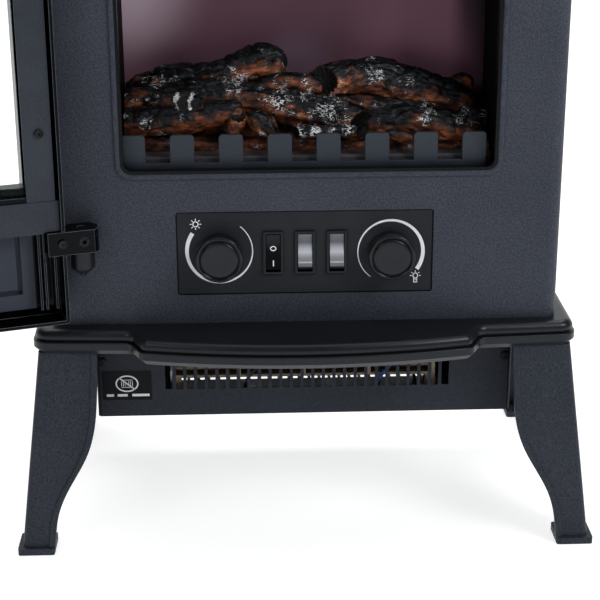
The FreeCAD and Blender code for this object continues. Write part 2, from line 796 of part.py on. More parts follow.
# Controls
def control_plate():
    """Plate behind the front panel's opening, pierced for two shafts and the switches."""
    half = control_width / 2 + control_border
    tall = control_height / 2 + control_border
    plate = panel(-half, half, control_z - tall, control_z + tall, plate_front, plate_back, control_corner)
    tools = []
    for x in knob_x:
        tools.append(rod(V(x, plate_front - 1, control_z), Y, bushing_radius + seat_gap, 5))
    for x in rocker_x:
        w = bezel_width / 2 - bezel_rim / 2 + seat_gap
        h = bezel_height / 2 - bezel_rim / 2 + seat_gap
        tools.append(block(x - w, x + w, plate_front - 1, plate_back + 1, control_z - h, control_z + h))
    return without(plate, tools)


rocker_half_height = bezel_height / 2 - bezel_rim
rocker_half_width = bezel_width / 2 - bezel_rim
rocker_axis_y = plate_front + 3.0
rocker_radius = 2.0


def switch_housings():
    """Three switch bodies that snap into the plate, each with a raised frame."""
    bodies = []
    for x in rocker_x:
        w = bezel_width / 2
        h = bezel_height / 2
        frame_y = plate_front - bezel_thickness
        bezel = panel(x - w, x + w, control_z - h, control_z + h, frame_y, plate_front - 0.02, 1.0)
        bezel = rounded(bezel, 0.5, lambda c, e: e.BoundBox.YMax < frame_y + 0.01)
        wi = w - bezel_rim / 2
        hi = h - bezel_rim / 2
        can = block(x - wi, x + wi, plate_front - 0.5, plate_front + switch_depth, control_z - hi,
                    control_z + hi)
        deep = rocker_axis_y + 7.5
        well = block(x - rocker_half_width, x + rocker_half_width, frame_y - 1, deep,
                     control_z - rocker_half_height, control_z + rocker_half_height)
        body = joined([bezel, can]).cut(well)
        ears = []
        for side in (-1, 1):
            start = V(x + side * (rocker_half_width + 0.3), rocker_axis_y, control_z)
            ears.append(rod(start, X * -side, rocker_radius - 0.7, rocker_clearance + 1.2))
        terminals = [block(x - 2.4, x + 2.4, plate_front + switch_depth - 0.5,
                           plate_front + switch_depth + 7,
                           control_z + dz - 0.4, control_z + dz + 0.4) for dz in (-8, 0, 8)]
        bodies.append(joined([body] + ears + terminals))
    return Part.makeCompound(bodies)


def rocker(x):
    """Rocker key on two trunnions, drawn with its top pressed in."""
    w = rocker_half_width - rocker_clearance
    h = rocker_half_height - 1.0
    rim_y = plate_front - bezel_thickness
    face = rim_y - 1.2
    half_swing = rocker_swing / 2
    sag = 1.6
    profile = [
        V(x - w, face, control_z + h), V(x - w, face + sag, control_z), V(x - w, face, control_z - h),
    ]
    back = rocker_axis_y + 3.6
    front_arc = Part.Arc(profile[0], profile[1], profile[2]).toShape()
    lower = V(x - w, rocker_axis_y + 0.5, control_z - h)
    upper = V(x - w, rocker_axis_y + 0.5, control_z + h)
    heel = V(x - w, back, control_z)
    edges = [
        front_arc,
        Part.LineSegment(profile[2], lower).toShape(),
        Part.LineSegment(lower, heel).toShape(),
        Part.LineSegment(heel, upper).toShape(),
        Part.LineSegment(upper, profile[0]).toShape(),
    ]
    key = Part.Face(Part.Wire(edges)).extrude(V(2 * w, 0, 0))
    key = key.cut(rod(V(x - w - 1, rocker_axis_y, control_z), X,
                      rocker_radius - 0.7 + running_clearance, 2 * w + 2))
    swing_radius = math.hypot(face - rocker_axis_y, h)
    reach = rod(V(x - w - 1, rocker_axis_y, control_z), X, min(swing_radius, rocker_half_height - 0.4),
                2 * w + 2)
    key = key.common(reach)
    key.rotate(V(x, rocker_axis_y, control_z), X, -half_swing)
    return key


def shaft_control(x, body_width, body_depth):
    """Rotary control behind the plate with a threaded neck through it."""
    half = body_width / 2
    low = plate_back + seat_gap
    body = block(x - half, x + half, low, low + body_depth, control_z - half, control_z + half)
    neck = rod(V(x, low - bushing_length + 1, control_z), Y, bushing_radius, bushing_length)
    bore = rod(V(x, low - bushing_length - 1, control_z), Y, shaft_radius + running_clearance,
               bushing_length + 12)
    tags = [block(x + dx - 2.4, x + dx + 2.4, low + body_depth - 0.5, low + body_depth + 8,
                  control_z - 0.4, control_z + 0.4) for dx in (-9, 9)]
    return joined([body, neck] + tags).cut(bore)


def thermostat():
    """Thermostat behind the left knob."""
    return shaft_control(knob_x[0], 30.0, 22.0)


def dimmer():
    """Lamp dimmer behind the right knob, on its small circuit board."""
    body = shaft_control(knob_x[1], 24.0, 16.0)
    board_y = plate_back + seat_gap + 16.0
    board = block(knob_x[1] - 27, knob_x[1] + 21, board_y - 0.2, board_y + 1.6, control_z - 25,
                  control_z + 25)
    coil = rod(V(knob_x[1] - 18, board_y + 1, control_z + 14), Y, 6.0, 12)
    switch = block(knob_x[1] + 8, knob_x[1] + 18, board_y + 1, board_y + 5, control_z - 20, control_z - 4)
    return joined([body, board, coil, switch])


def neck_nuts():
    """Thin nuts that clamp both rotary controls to the plate, hidden by the knobs."""
    nuts = []
    for x in knob_x:
        points = [V(x + 7 * math.cos(math.radians(60 * i)), plate_front - seat_gap,
                    control_z + 7 * math.sin(math.radians(60 * i))) for i in range(6)]
        nut = prism(points, 0, V(0, -2.0, 0))
        nuts.append(nut.cut(rod(V(x, plate_front - 4, control_z), Y, bushing_radius + running_clearance,
                                6)))
    return Part.makeCompound(nuts)


def knob(x):
    """Drum knob with a rolled rim, a groove and a domed button face, hollow round its hub."""
    base = plate_front - knob_lift
    r = knob_radius
    h = knob_height
    face = knob_face_radius
    inner = face - knob_wall
    shaft_room = shaft_radius + seat_gap
    hub = shaft_radius + 2.2
    hub_base = bushing_length - 1
    dome = ((face - 0.3) ** 2 + 0.6 ** 2) / 1.2
    dome_mid = dome - (dome ** 2 - face ** 2 / 4) ** 0.5

    def at(radius, height):
        return V(x + radius, base - height, control_z)

    corners = [at(inner, 0), at(r, 0), at(r - 0.4, h - 4.4)]
    groove = [at(r - 1.7, h - 2.9), at(face + 1.5, h - 2.3), at(face + 1.2, h - 3.2), at(face + 0.6,
                                                                                         h - 3.2),
              at(face + 0.5, h - 1.5)]
    inside = [at(0, h), at(0, h - 3.4), at(shaft_room, h - 3.4), at(shaft_room, hub_base), at(hub,
                                                                                              hub_base),
              at(hub, h - 4.5), at(inner, h - 4.5), at(inner, 0)]
    edges = list(Part.makePolygon(corners).Edges)
    edges.append(Part.Arc(at(r - 0.4, h - 4.4), at(r - 0.8, h - 3.3), at(r - 1.7, h - 2.9)).toShape())
    edges += Part.makePolygon(groove).Edges
    edges.append(Part.Arc(at(face + 0.5, h - 1.5), at(face + 0.3, h - 0.9), at(face - 0.3,
                                                                               h - 0.6)).toShape())
    edges.append(Part.Arc(at(face - 0.3, h - 0.6), at(face / 2, h - dome_mid), at(0, h)).toShape())
    edges += Part.makePolygon(inside).Edges
    return Part.Face(Part.Wire(edges)).revolve(V(x, base, control_z), Y, 360)


def knob_shaft(x):
    """Steel shaft that carries a knob and runs in the control's neck."""
    tip = plate_front - knob_lift - knob_height + 3.5
    return rod(V(x, tip, control_z), Y, shaft_radius, plate_back + 9.0 - tip)


def terminal_block():
    """Screw terminal strip on the floor beside the mains gland."""
    x0 = gland_x - 15
    strip = block(x0, x0 + 44, rear_y - 42, rear_y - 26, cabinet_bottom, cabinet_bottom + 14)
    holes = [rod(V(x0 + 7 + 10 * i, rear_y - 34, cabinet_bottom + 8), Z, 2.2, 7) for i in range(4)]
    return without(strip, holes)


# Door, described closed and then swung open about its hinge line
def opened(shape):
    """Swing a closed-door shape to the open pose."""
    swung = shape.copy()
    swung.rotate(V(hinge_x, hinge_y, 0), Z, -door_open)
    return swung


def arm_levels():
    """Lower heights of both hinge arms."""
    return (lower_arm_z, upper_arm_z)


hinge_screw_reach = 9.8
strap_front = hinge_y - 2.0
strap_back = hinge_y + 9.2
arm_boss_front = strap_front - seat_gap


def arm_screw_point(z):
    """Where the screw that ties an arm to the door starts."""
    return V(hinge_x + hinge_screw_reach + 5, strap_back, z + hinge_arm_height / 2)


def stile_screw_points():
    """Screws through both side strips and the bottom strip."""
    points = [V(x, retainer_back, z) for x in (door_left + stile_screw_inset,
                                               door_right - stile_screw_inset)
              for z in stile_screw_z]
    middle = (rail_top + rail_bottom) / 2
    points += [V(x, retainer_back, middle) for x in (door_left + 46, door_right - 46)]
    points += [V(x, retainer_back, window_top + 4) for x in (door_left + 70, door_right - 70)]
    return points


def door_frame():
    """Moulded door: face, rim, glass ledge, cross ribs and a stepped lower panel."""
    x0, x1, z0, z1 = door_left, door_right, door_bottom, door_top
    face_y = door_outer
    wall = door_wall
    shell = panel(x0, x1, z0, z1, face_y, door_inner, door_corner)
    shell = rounded(shell, 1.6, lambda c, e: e.BoundBox.YMax < face_y + 0.01)
    pocket = panel(x0 + wall, x1 - wall, z0 + wall, z1 - wall, door_face_back, door_inner + 1,
                   0.2)
    shell = shell.cut(pocket)
    border = door_glass_border
    sill = window_bottom - 1.2
    head = window_top - 5
    ledge_out = panel(x0 + 7.5, x1 - 7.5, rail_top, window_top + 8, face_y + 1, glass_front, 3)
    ledge_in = panel(x0 + border, x1 - border, sill, head, face_y - 1, door_inner, 1)
    step_low = block(x0 + border - 4, x1 - border + 4, face_y + 1, retainer_front - seat_gap, rail_top,
                     sill - 6)
    ribs = [
        block(x0 + wall - 1, x1 - wall + 1, face_y + 1, retainer_front - seat_gap, rail_top - 3, rail_top),
        block(x0 + wall - 1, x1 - wall + 1, face_y + 1, retainer_front - seat_gap, rail_bottom + 2,
              rail_bottom + 5),
    ]
    for inset in (6.0, 13.0, 16.5):
        for side in (x0 + inset, x1 - inset - 1.6):
            ribs.append(block(side, side + 1.6, face_y + 1, door_inner - 5, z0 + 10, rail_bottom + 3))
    top = rail_bottom + 2
    raised = door_face_back + 4
    ring = panel(x0 + 19.5, x1 - 19.5, z0 + 9, top + 4, face_y + 1, raised, 1)
    ring_in = panel(x0 + 28.3, x1 - 28.3, z0 + 19.8, top, face_y - 1, door_inner, 1)
    field = panel(x0 + 31, x1 - 31, z0 + 22.4, top + 1, face_y + 1, door_face_back + 1.5, 1)
    bosses = []
    for point in stile_screw_points():
        bosses.append(rod(V(point.x, face_y + 1, point.z), Y, 3.6, retainer_front - seat_gap - face_y - 1))
    for z in arm_levels():
        bosses.append(block(x0 + wall - 1, x0 + 16, face_y + 1, arm_boss_front, z - 1,
                            z + hinge_arm_height + 1))
    frame = joined([shell, ledge_out, step_low] + ribs + [ring.cut(ring_in), field] + bosses)
    tools = [ledge_in, rod(V(handle_x, door_face_back, handle_z), Y, screw_head_radius + 0.2,
                           door_thickness)]
    tools += arm_rooms()
    tools += [screw_hole(arm_screw_point(z), -Y, 14.0) for z in arm_levels()]
    for point in stile_screw_points():
        tools.append(screw_hole(point, -Y))
    tools.append(rod(V(handle_x, face_y - 1, handle_z), Y, screw_radius + running_clearance, 9))
    return opened(without(frame, tools))


handle_x = door_right - 14
handle_z = (window_bottom + window_top) / 2 + 20
handle_radius = 9.0
handle_reach = 22.0


def door_glass():
    """Toughened pane."""
    inset = 20.0
    pane = block(door_left + inset, door_right - inset, glass_front, glass_back, window_bottom - 6.8,
                 window_top - 1)
    return opened(pane)


def glass_retainers():
    """Flat steel strips that hold the glass: left, right, top and a broad one underneath."""
    x0 = door_left + door_wall + 2.2
    x1 = door_right - door_wall - 2.2
    gap = board_gap
    head = window_top + 10
    strips = []
    for a, b in ((x0, x0 + door_stile_width), (x1 - door_stile_width, x1)):
        strips.append(block(a, b, retainer_front, retainer_back, rail_top + gap, head))
    strips.append(block(x0 + door_stile_width + gap, x1 - door_stile_width - gap, retainer_front,
                        retainer_back,
                        window_top - 7, head))
    strips.append(block(door_left + door_wall + gap, door_right - door_wall - gap, retainer_front,
                        retainer_back,
                        rail_bottom, rail_top))
    tools = [screw_hole(p, -Y) for p in stile_screw_points()] + arm_rooms()
    return opened(Part.makeCompound([without(s, tools) for s in strips]))


def arm_rooms():
    """Space kept in the door round both hinge straps."""
    return [block(door_left - 1, door_left + 13.5, strap_front - seat_gap, door_inner + 1,
                  z - 0.5, z + hinge_arm_height + 0.5) for z in arm_levels()]


def door_screws():
    """Screws of the door: glass strips, hinge straps, handle, and the set screw that locks each pin."""
    pieces = [screw(p, -Y, 7.0) for p in stile_screw_points()]
    pieces.append(screw(V(handle_x, door_face_back, handle_z), -Y, 11.0))
    for z in arm_levels():
        pieces.append(screw(arm_screw_point(z), -Y, 10.0))
        start = V(hinge_x, hinge_y + pin_radius + 0.1, z + hinge_arm_height / 2)
        grub = rod(start, Y, 2.9, strap_back - hinge_y - pin_radius + 0.2)
        pieces.append(grub.cut(rod(start + Y * 4, Y, 1.5, 8)))
    return opened(Part.makeCompound(pieces))


def hinge_arm(z):
    """Hinge arm: a rounded head round the pin and a strap along the door's back."""
    head = rod(V(hinge_x, hinge_y, z), Z, hinge_head_radius, hinge_arm_height)
    flat = block(hinge_x - 20, hinge_x + 20, hinge_y - 9.6, strap_back, z - 1, z + hinge_arm_height + 1)
    strap = block(hinge_x, hinge_x + hinge_arm_reach, strap_front, strap_back, z, z + hinge_arm_height)
    arm = joined([head.common(flat), strap])
    tools = [rod(V(hinge_x, hinge_y, z - 1), Z, pin_radius + 0.02, hinge_arm_height + 2)]
    tools.append(screw_hole(arm_screw_point(z), -Y, 14.0))
    tools.append(rod(V(hinge_x, hinge_y, z + hinge_arm_height / 2), Y, 2.95, 12))
    return without(arm, tools)


def hinge_arms():
    """Both arms on the door's edge."""
    return opened(Part.makeCompound([hinge_arm(z) for z in arm_levels()]))


def hinge_pins():
    """Pin through each knuckle, locked in its arm and headed at the outer end."""
    reach = knuckle_height + hinge_arm_height - 1
    low = rod(V(hinge_x, hinge_y, lower_arm_z - knuckle_height - 0.6), Z, pin_radius, reach)
    low_head = Part.makeCone(2.0, 3.6, 2.4, V(hinge_x, hinge_y, lower_arm_z - knuckle_height - 3.0), Z)
    high_top = upper_arm_z + hinge_arm_height + knuckle_height + 0.6
    high = rod(V(hinge_x, hinge_y, high_top), -Z, pin_radius, reach)
    high_head = Part.makeCone(2.0, 3.6, 2.4, V(hinge_x, hinge_y, high_top + 2.4), -Z)
    return Part.makeCompound([joined([low, low_head]), joined([high, high_head])])


def knuckle(low, high, taper_down):
    """Barrel fixed to the front panel by a short web; its far end is tapered."""
    height = high - low
    taper = 3.6
    barrel_low = low + taper if taper_down else low
    barrel = rod(V(hinge_x, hinge_y, barrel_low), Z, knuckle_radius, height - taper)
    if taper_down:
        cone = Part.makeCone(4.6, knuckle_radius, taper, V(hinge_x, hinge_y, low), Z)
    else:
        cone = Part.makeCone(knuckle_radius, 4.6, taper, V(hinge_x, hinge_y, high - taper), Z)
    web_low = low + (taper if taper_down else 2)
    web_high = high - (2 if taper_down else taper)
    web = block(hinge_x - 6.5, hinge_x + 6.5, hinge_y, front_y, web_low, web_high)
    body = joined([barrel, cone, web])
    return body.cut(rod(V(hinge_x, hinge_y, low - 1), Z, pin_radius + running_clearance, height + 2))


def door_knuckles():
    """One knuckle under the lower arm and one over the upper arm."""
    low = knuckle(lower_arm_z - knuckle_height - 0.3, lower_arm_z - 0.3, True)
    base = upper_arm_z + hinge_arm_height + 0.3
    return Part.makeCompound([low, knuckle(base, base + knuckle_height, False)])


def door_handle():
    """Turned knob on the free edge of the door."""
    neck = rod(V(handle_x, door_outer, handle_z), -Y, handle_radius * 0.5, handle_reach * 0.6)
    ball = rod(V(handle_x, door_outer - handle_reach * 0.5, handle_z), -Y, handle_radius,
               handle_reach * 0.5)
    ball = rounded(ball, 3.5, lambda c, e: e.BoundBox.YMax - e.BoundBox.YMin < 0.01)
    body = joined([neck, ball])
    return opened(body.cut(rod(V(handle_x, door_outer + 1, handle_z), -Y,
                               screw_radius + running_clearance, 11)))


def catch_magnets():
    """Two flat magnets on the free side's strip that hold the door shut against the steel panel."""
    magnets = []
    for z in (door_top - 60, window_bottom + 16):
        magnets.append(block(door_right - 18, door_right - 7, retainer_back, door_inner - 0.4, z - 12,
                             z + 12))
    return opened(Part.makeCompound(magnets))


# Heater in its housing under the plinth
def heater_housing():
    """Folded sheet under the plinth: a slotted front and two sides, with top flanges."""
    half = housing_half_width
    outer = slab(-half, half, housing_front, housing_back, housing_bottom, plinth_ceiling, [3, 3, 0, 0])
    inner = slab(-half + sheet, half - sheet, housing_front + sheet, housing_back + 1, housing_bottom - 1,
                 plinth_ceiling - sheet, [2, 2, 0, 0])
    mouth = block(-half + 14, half - 14, housing_front + 14, housing_back + 1, plinth_ceiling - 3,
                  plinth_ceiling + 1)
    shell = without(outer, [inner, mouth])
    tools = [screw_hole(p, Y) for p in outlet_screw_points]
    for i in range(slot_count):
        x = slot_shift + (i - (slot_count - 1) / 2) * slot_pitch
        tools.append(block(x - slot_width / 2, x + slot_width / 2, housing_front - 1,
                           housing_front + sheet + 1,
                           housing_bottom + slot_foot, housing_bottom + slot_foot + slot_height))
    return without(shell, tools)


intake_count = 25
intake_setback = 64.0
intake_length = 92.0


def base_tray():
    """Bottom and back of the housing in one fold, with a row of intake slots and two front tabs."""
    half = housing_half_width - sheet - seat_gap
    y0 = housing_front + sheet + seat_gap
    bottom = slab(-half, half, y0, housing_back, housing_bottom, housing_bottom + sheet, [3, 3, 0, 0])
    back = block(-half, half, housing_back - sheet, housing_back, housing_bottom,
                 plinth_ceiling - sheet - seat_gap)
    folds = []
    for side in (-1, 1):
        outer = side * half
        inner = outer - side * sheet
        folds.append(block(min(outer, inner), max(outer, inner), y0 + 3, housing_back, housing_bottom,
                           housing_bottom + 12))
        tab = outer - side * 13
        edge = outer - side * 2
        folds.append(block(min(edge, tab), max(edge, tab), y0, y0 + sheet, housing_bottom, leg_height - 10))
    tools = [screw_hole(p, Y) for p in outlet_screw_points]
    for i in range(intake_count):
        x = slot_shift + (i - (intake_count - 1) / 2) * slot_pitch
        tools.append(block(x - slot_width / 2, x + slot_width / 2, housing_front + intake_setback,
                           housing_front + intake_setback + intake_length, housing_bottom - 1,
                           housing_bottom + 2))
    return without(joined([bottom, back] + folds), tools)


def caution_label():
    """Blank sticker on the slotted front."""
    x0 = -housing_half_width + 4
    z0 = housing_bottom + 12.7
    return panel(x0, x0 + 35.2, z0, z0 + 22.3, housing_front - 0.2, housing_front, 1.0)


def impeller():
    """Cross-flow rotor: curved blades between end discs."""
    start = V(rotor_left, rotor_y, rotor_z)
    discs = []
    for k in range(4):
        at = start + X * (k * (rotor_length - 1.5) / 3)
        discs.append(rod(at, X, rotor_radius, 1.5))
    blades = []
    for i in range(rotor_blades):
        blade = block(rotor_left + 0.5, rotor_right - 0.5, rotor_y - 0.4, rotor_y + 0.4,
                      rotor_z + rotor_radius - 6.5, rotor_z + rotor_radius - 0.4)
        blade.rotate(V(0, rotor_y, rotor_z + rotor_radius - 3), X, 28.0)
        blade.rotate(V(0, rotor_y, rotor_z), X, 360.0 * i / rotor_blades)
        blades.append(blade)
    return joined(discs + blades).cut(rod(start - X, X, fan_shaft_radius + 0.02, rotor_length + 2))


motor_gap = 6.0
stator_depth = 18.0
stator_left = rotor_right + 2 * motor_gap + 4


def blower_shaft():
    """Shaft through the rotor, its two bearings and the motor."""
    start = rotor_left - 9
    end = stator_left + stator_depth + 7
    return rod(V(start, rotor_y, rotor_z), X, fan_shaft_radius, end - start)


def motor_rotor():
    """Squirrel-cage rotor on the blower shaft."""
    at = V(stator_left + 0.5, rotor_y, rotor_z)
    return pipe(at, X, 9.0, fan_shaft_radius + 0.02, stator_depth - 1)


def motor_stator():
    """Laminated frame of the shaded-pole motor."""
    frame = block(stator_left, stator_left + stator_depth, rotor_y - 20, rotor_y + 38, rotor_z - 20,
                  rotor_z + 20)
    bore = rod(V(stator_left - 1, rotor_y, rotor_z), X, 9.4, stator_depth + 2)
    window = block(stator_left - 1, stator_left + stator_depth + 1, rotor_y + 16, rotor_y + 28,
                   rotor_z - 12, rotor_z + 12)
    return without(frame, [bore, window])


def motor_coil():
    """Winding round the stator's outer limb."""
    x0 = stator_left - 4
    x1 = stator_left + stator_depth + 4
    winding = block(x0, x1, rotor_y + 16.4, rotor_y + 46, rotor_z - 11.5, rotor_z + 11.5)
    limb = block(stator_left - 0.1, stator_left + stator_depth + 0.1, rotor_y + 28 - 0.1,
                 rotor_y + 38 + 0.1,
                 rotor_z - 20, rotor_z + 20)
    return winding.cut(limb)


def blower_bearings():
    """Bush in the left end plate and a strap bearing either side of the stator, standing on the tray."""
    x = rotor_left - 2 - sheet
    body = rod(V(x - 5, rotor_y, rotor_z), X, 6.0 - seat_gap, 5 + sheet)
    collar = rod(V(x - 5, rotor_y, rotor_z), X, 8.0, 5 - seat_gap)
    bores = rod(V(x - 6, rotor_y, rotor_z), X, fan_shaft_radius + running_clearance, rotor_length + 90)
    pieces = [joined([body, collar]).cut(bores)]
    for x0, x1 in ((stator_left - 5, stator_left), (stator_left + stator_depth,
                                                    stator_left + stator_depth + 5)):
        edge = x0 if x1 == stator_left else x1 - 2
        strap = block(edge, edge + 2, rotor_y - 19, rotor_y + 8, housing_bottom + sheet, rotor_z + 7)
        foot = block(x0, x1, rotor_y - 19, rotor_y - 13, rotor_z - 7, rotor_z + 7)
        pieces.append(joined([strap, foot]).cut(bores))
    return Part.makeCompound(pieces)


casing_radius = rotor_radius + scroll_gap


def blower_casing():
    """Scroll round the back of the rotor between two end plates that stand on the tray."""
    x0 = rotor_left - 2
    x1 = rotor_right + 2
    wrap = pipe(V(x0, rotor_y, rotor_z), X, casing_radius + sheet, casing_radius, x1 - x0)
    front_cut = block(x0 - 1, x1 + 1, rotor_y - 60, rotor_y - 4, rotor_z - 40, rotor_z + 40)
    low_cut = block(x0 - 1, x1 + 1, rotor_y - 60, rotor_y + 60, rotor_z - 60, rotor_z - 8)
    wrap = without(wrap, [front_cut, low_cut])
    pieces = [wrap]
    foot_z = housing_bottom + sheet
    for x in (x0 - sheet, x1):
        plate = block(x, x + sheet, rotor_y - 26, rotor_y + 30, foot_z, rotor_z + casing_radius + 2)
        pieces.append(plate.cut(rod(V(x - 1, rotor_y, rotor_z), X, 6.0, sheet + 2)))
    chute = block(x0, x1, rotor_y - 30, rotor_y - 3, rotor_z + casing_radius,
                  rotor_z + casing_radius + sheet)
    pieces.append(chute)
    return joined(pieces)


def element_frame():
    """Insulating frame that carries the heating wire across the outlet."""
    y0 = housing_front + sheet + element_setback
    y1 = y0 + element_depth
    half = element_length / 2
    z0 = element_bottom
    z1 = element_bottom + element_height
    bars = [block(-half, half, y0, y1, z0, z0 + 2), block(-half, half, y0, y1, z1 - 2, z1)]
    for i in range(5):
        x = -half + 1.25 + i * (element_length - 2.5) / 4
        bars.append(block(x - 1.25, x + 1.25, y0, y1, z0, z1))
    for side in (-1, 1):
        x = side * (half - 3)
        bars.append(block(x - 3, x + 3, y0, y1, housing_bottom + sheet, z0 + 1))
    frame = joined(bars)
    tools = [rod(V(-half - 1, (y0 + y1) / 2, z), X, coil_radius + seat_gap,
                 element_length + 2) for z in coil_levels()]
    return without(frame, tools)


def coil_levels():
    """Heights of the rows of heating wire."""
    middle = element_bottom + element_height / 2
    return [middle + (i - (coil_rows - 1) / 2) * 9.5 for i in range(coil_rows)]


def heating_coils():
    """Rows of wound heating wire, as their outer envelope."""
    y = housing_front + sheet + element_setback + element_depth / 2
    half = element_length / 2
    return Part.makeCompound([rod(V(-half + 1, y, z), X, coil_radius,
                                  element_length - 2) for z in coil_levels()])


def thermal_cutout():
    """Disc thermostat on a tab at the top of the element frame."""
    y = housing_front + sheet + element_setback + element_depth / 2
    z = element_bottom + element_height
    body = rod(V(-40, y, z), Z, 6.5, 5)
    tags = [block(-40 + d - 1.5, -40 + d + 1.5, y - 0.4, y + 0.4, z + 4, z + 7.5) for d in (-5, 5)]
    return joined([body] + tags)


def heater_leads():
    """Two insulated leads from the element, round the blower and up through the plinth."""
    y = housing_front + sheet + element_setback
    low = housing_bottom + sheet
    aisle = rotor_right + 5
    shapes = []
    for i in range(2):
        x = aisle + i * 2.8
        start = 66 - 96 * i
        points = [
            V(start, y - 2, element_bottom + 12),
            V(start - 10, y - 3.5, element_bottom + 3),
            V(start - 14, y - 2, element_bottom - 11),
            V(start - 2, y, low + 6),
            V(start + 12 + 20 * i, y + 6, low + 4 + i),
            V(x - 4, y + 14, low + 4 + 3 * i),
            V(x, y + 30, low + 4 + 3 * i),
            V(x, rotor_y + 22, low + 4 + 3 * i),
            V(x + 8, lead_hole_y - 6, low + 10),
            V(lead_hole_x - 4 + 7 * i, lead_hole_y, low + 32),
            V(lead_hole_x - 3 + 6 * i, lead_hole_y + 3, cabinet_bottom - 10),
            V(lead_hole_x - 4 + 7 * i, lead_hole_y, cabinet_bottom + 24),
            V(lead_hole_x - 24 + 7 * i, lead_hole_y - 28, control_z - 6 + 12 * i),
            V(knob_x[1] + 10, control_back + 22 + i, control_z - 3 + 9 * i),
        ]
        shapes.append(lead(points, 1.3))
    return Part.makeCompound(shapes)


def leg_at(right, rear):
    """One of the four legs."""
    return quadrant(leg(), right, rear)


parts = {
    "cabinet_shell": cabinet_shell(),
    "rear_cover": rear_cover(),
    "top_cover": top_cover(),
    "plinth": plinth(),
    "leg_front_left": leg_at(False, False),
    "leg_front_right": leg_at(True, False),
    "leg_rear_left": leg_at(False, True),
    "leg_rear_right": leg_at(True, True),
    "cabinet_screws": cabinet_screws(),
    "cable_gland": cable_gland(),
    "terminal_block": terminal_block(),
    "window_trim": window_trim(),
    "firebox_shroud": firebox_shroud(),
    "fire_shelf": fire_shelf(),
    "ember_fence": ember_fence(),
    "log_set": log_set(),
    "flame_screen": flame_screen(),
    "flame_stencil": flame_stencil(),
    "flicker_spindle": flicker_spindle(),
    "spindle_motor": spindle_motor(),
    "spindle_supports": spindle_supports(),
    "lamp_bracket": lamp_bracket(),
    "lamp_holders": lamp_holders(),
    "flame_lamps": flame_lamps(),
    "control_plate": control_plate(),
    "switch_housings": switch_housings(),
    "power_rocker": rocker(rocker_x[0]),
    "low_heat_rocker": rocker(rocker_x[1]),
    "high_heat_rocker": rocker(rocker_x[2]),
    "thermostat": thermostat(),
    "dimmer": dimmer(),
    "neck_nuts": neck_nuts(),
    "thermostat_knob": knob(knob_x[0]),
    "thermostat_shaft": knob_shaft(knob_x[0]),
    "dimmer_knob": knob(knob_x[1]),
    "dimmer_shaft": knob_shaft(knob_x[1]),
    "door_frame": door_frame(),
    "door_glass": door_glass(),
    "glass_retainers": glass_retainers(),
    "door_screws": door_screws(),
    "door_handle": door_handle(),
    "catch_magnets": catch_magnets(),
    "hinge_arms": hinge_arms(),
    "hinge_pins": hinge_pins(),
    "door_knuckles": door_knuckles(),
    "heater_housing": heater_housing(),
    "base_tray": base_tray(),
    "caution_label": caution_label(),
    "blower_casing": blower_casing(),
    "blower_bearings": blower_bearings(),
    "impeller": impeller(),
    "blower_shaft": blower_shaft(),
    "motor_rotor": motor_rotor(),
    "motor_stator": motor_stator(),
    "motor_coil": motor_coil(),
    "element_frame": element_frame(),
    "heating_coils": heating_coils(),
    "thermal_cutout": thermal_cutout(),
    "heater_leads": heater_leads(),
}

os.makedirs("parts", exist_ok=True)

# Floor area of the whole stove, door included
cover = Part.makeCompound(list(parts.values())).BoundBox
to_middle = V(-round((cover.XMin + cover.XMax) / 2, 1), -round((cover.YMin + cover.YMax) / 2, 1), 0)
print(f"moved by {to_middle.x} {to_middle.y}")

for name, shape in parts.items():
    placed = shape.translated(to_middle)
    placed.exportStep("parts/" + name + ".step")
    state = "" if placed.isValid() else "  not valid"
    print(f"{name}: {len(placed.Solids)} solids{state}")
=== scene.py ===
import bpy
import bmesh
import math
import numpy as np
from mathutils import Matrix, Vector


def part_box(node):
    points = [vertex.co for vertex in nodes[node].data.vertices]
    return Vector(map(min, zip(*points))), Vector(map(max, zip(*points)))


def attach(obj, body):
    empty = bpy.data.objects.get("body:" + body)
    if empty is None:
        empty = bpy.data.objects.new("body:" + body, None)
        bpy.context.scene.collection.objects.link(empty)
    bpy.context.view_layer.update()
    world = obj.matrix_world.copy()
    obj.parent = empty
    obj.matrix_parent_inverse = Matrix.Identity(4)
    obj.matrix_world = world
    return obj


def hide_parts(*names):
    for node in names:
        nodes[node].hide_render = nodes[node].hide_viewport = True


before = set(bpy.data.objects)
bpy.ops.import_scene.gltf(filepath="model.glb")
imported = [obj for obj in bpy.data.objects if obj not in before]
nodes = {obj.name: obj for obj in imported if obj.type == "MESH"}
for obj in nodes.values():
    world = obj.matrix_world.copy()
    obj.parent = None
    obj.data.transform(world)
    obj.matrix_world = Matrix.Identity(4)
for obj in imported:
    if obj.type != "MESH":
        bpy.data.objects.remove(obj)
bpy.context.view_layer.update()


# ------------------------------------------------------------
# Cabinet shell: one folded sheet-steel wrap with the fire window and the control opening cut in it.
# Degreased, phosphated and powder coated in a fine-textured charcoal, then baked.
def feed(tree, socket, value):
    """Link a node's output to this socket, or set the socket's constant."""
    if isinstance(value, bpy.types.NodeSocket):
        tree.links.new(value, socket)
    else:
        socket.default_value = value


def noise(tree, scale, detail=2.0, roughness=0.5, stretch=None):
    """Noise on Object coordinates, which stretch multiplies axis by axis."""
    node = tree.nodes.new("ShaderNodeTexNoise")
    place = tree.nodes.new("ShaderNodeTexCoord").outputs["Object"]
    if stretch:
        mapping = tree.nodes.new("ShaderNodeMapping")
        mapping.inputs["Scale"].default_value = stretch
        tree.links.new(place, mapping.inputs["Vector"])
        place = mapping.outputs["Vector"]
    for title, value in (("Vector", place), ("Scale", scale), ("Detail", detail), ("Roughness", roughness)):
        feed(tree, node.inputs[title], value)
    return node.outputs["Fac"]


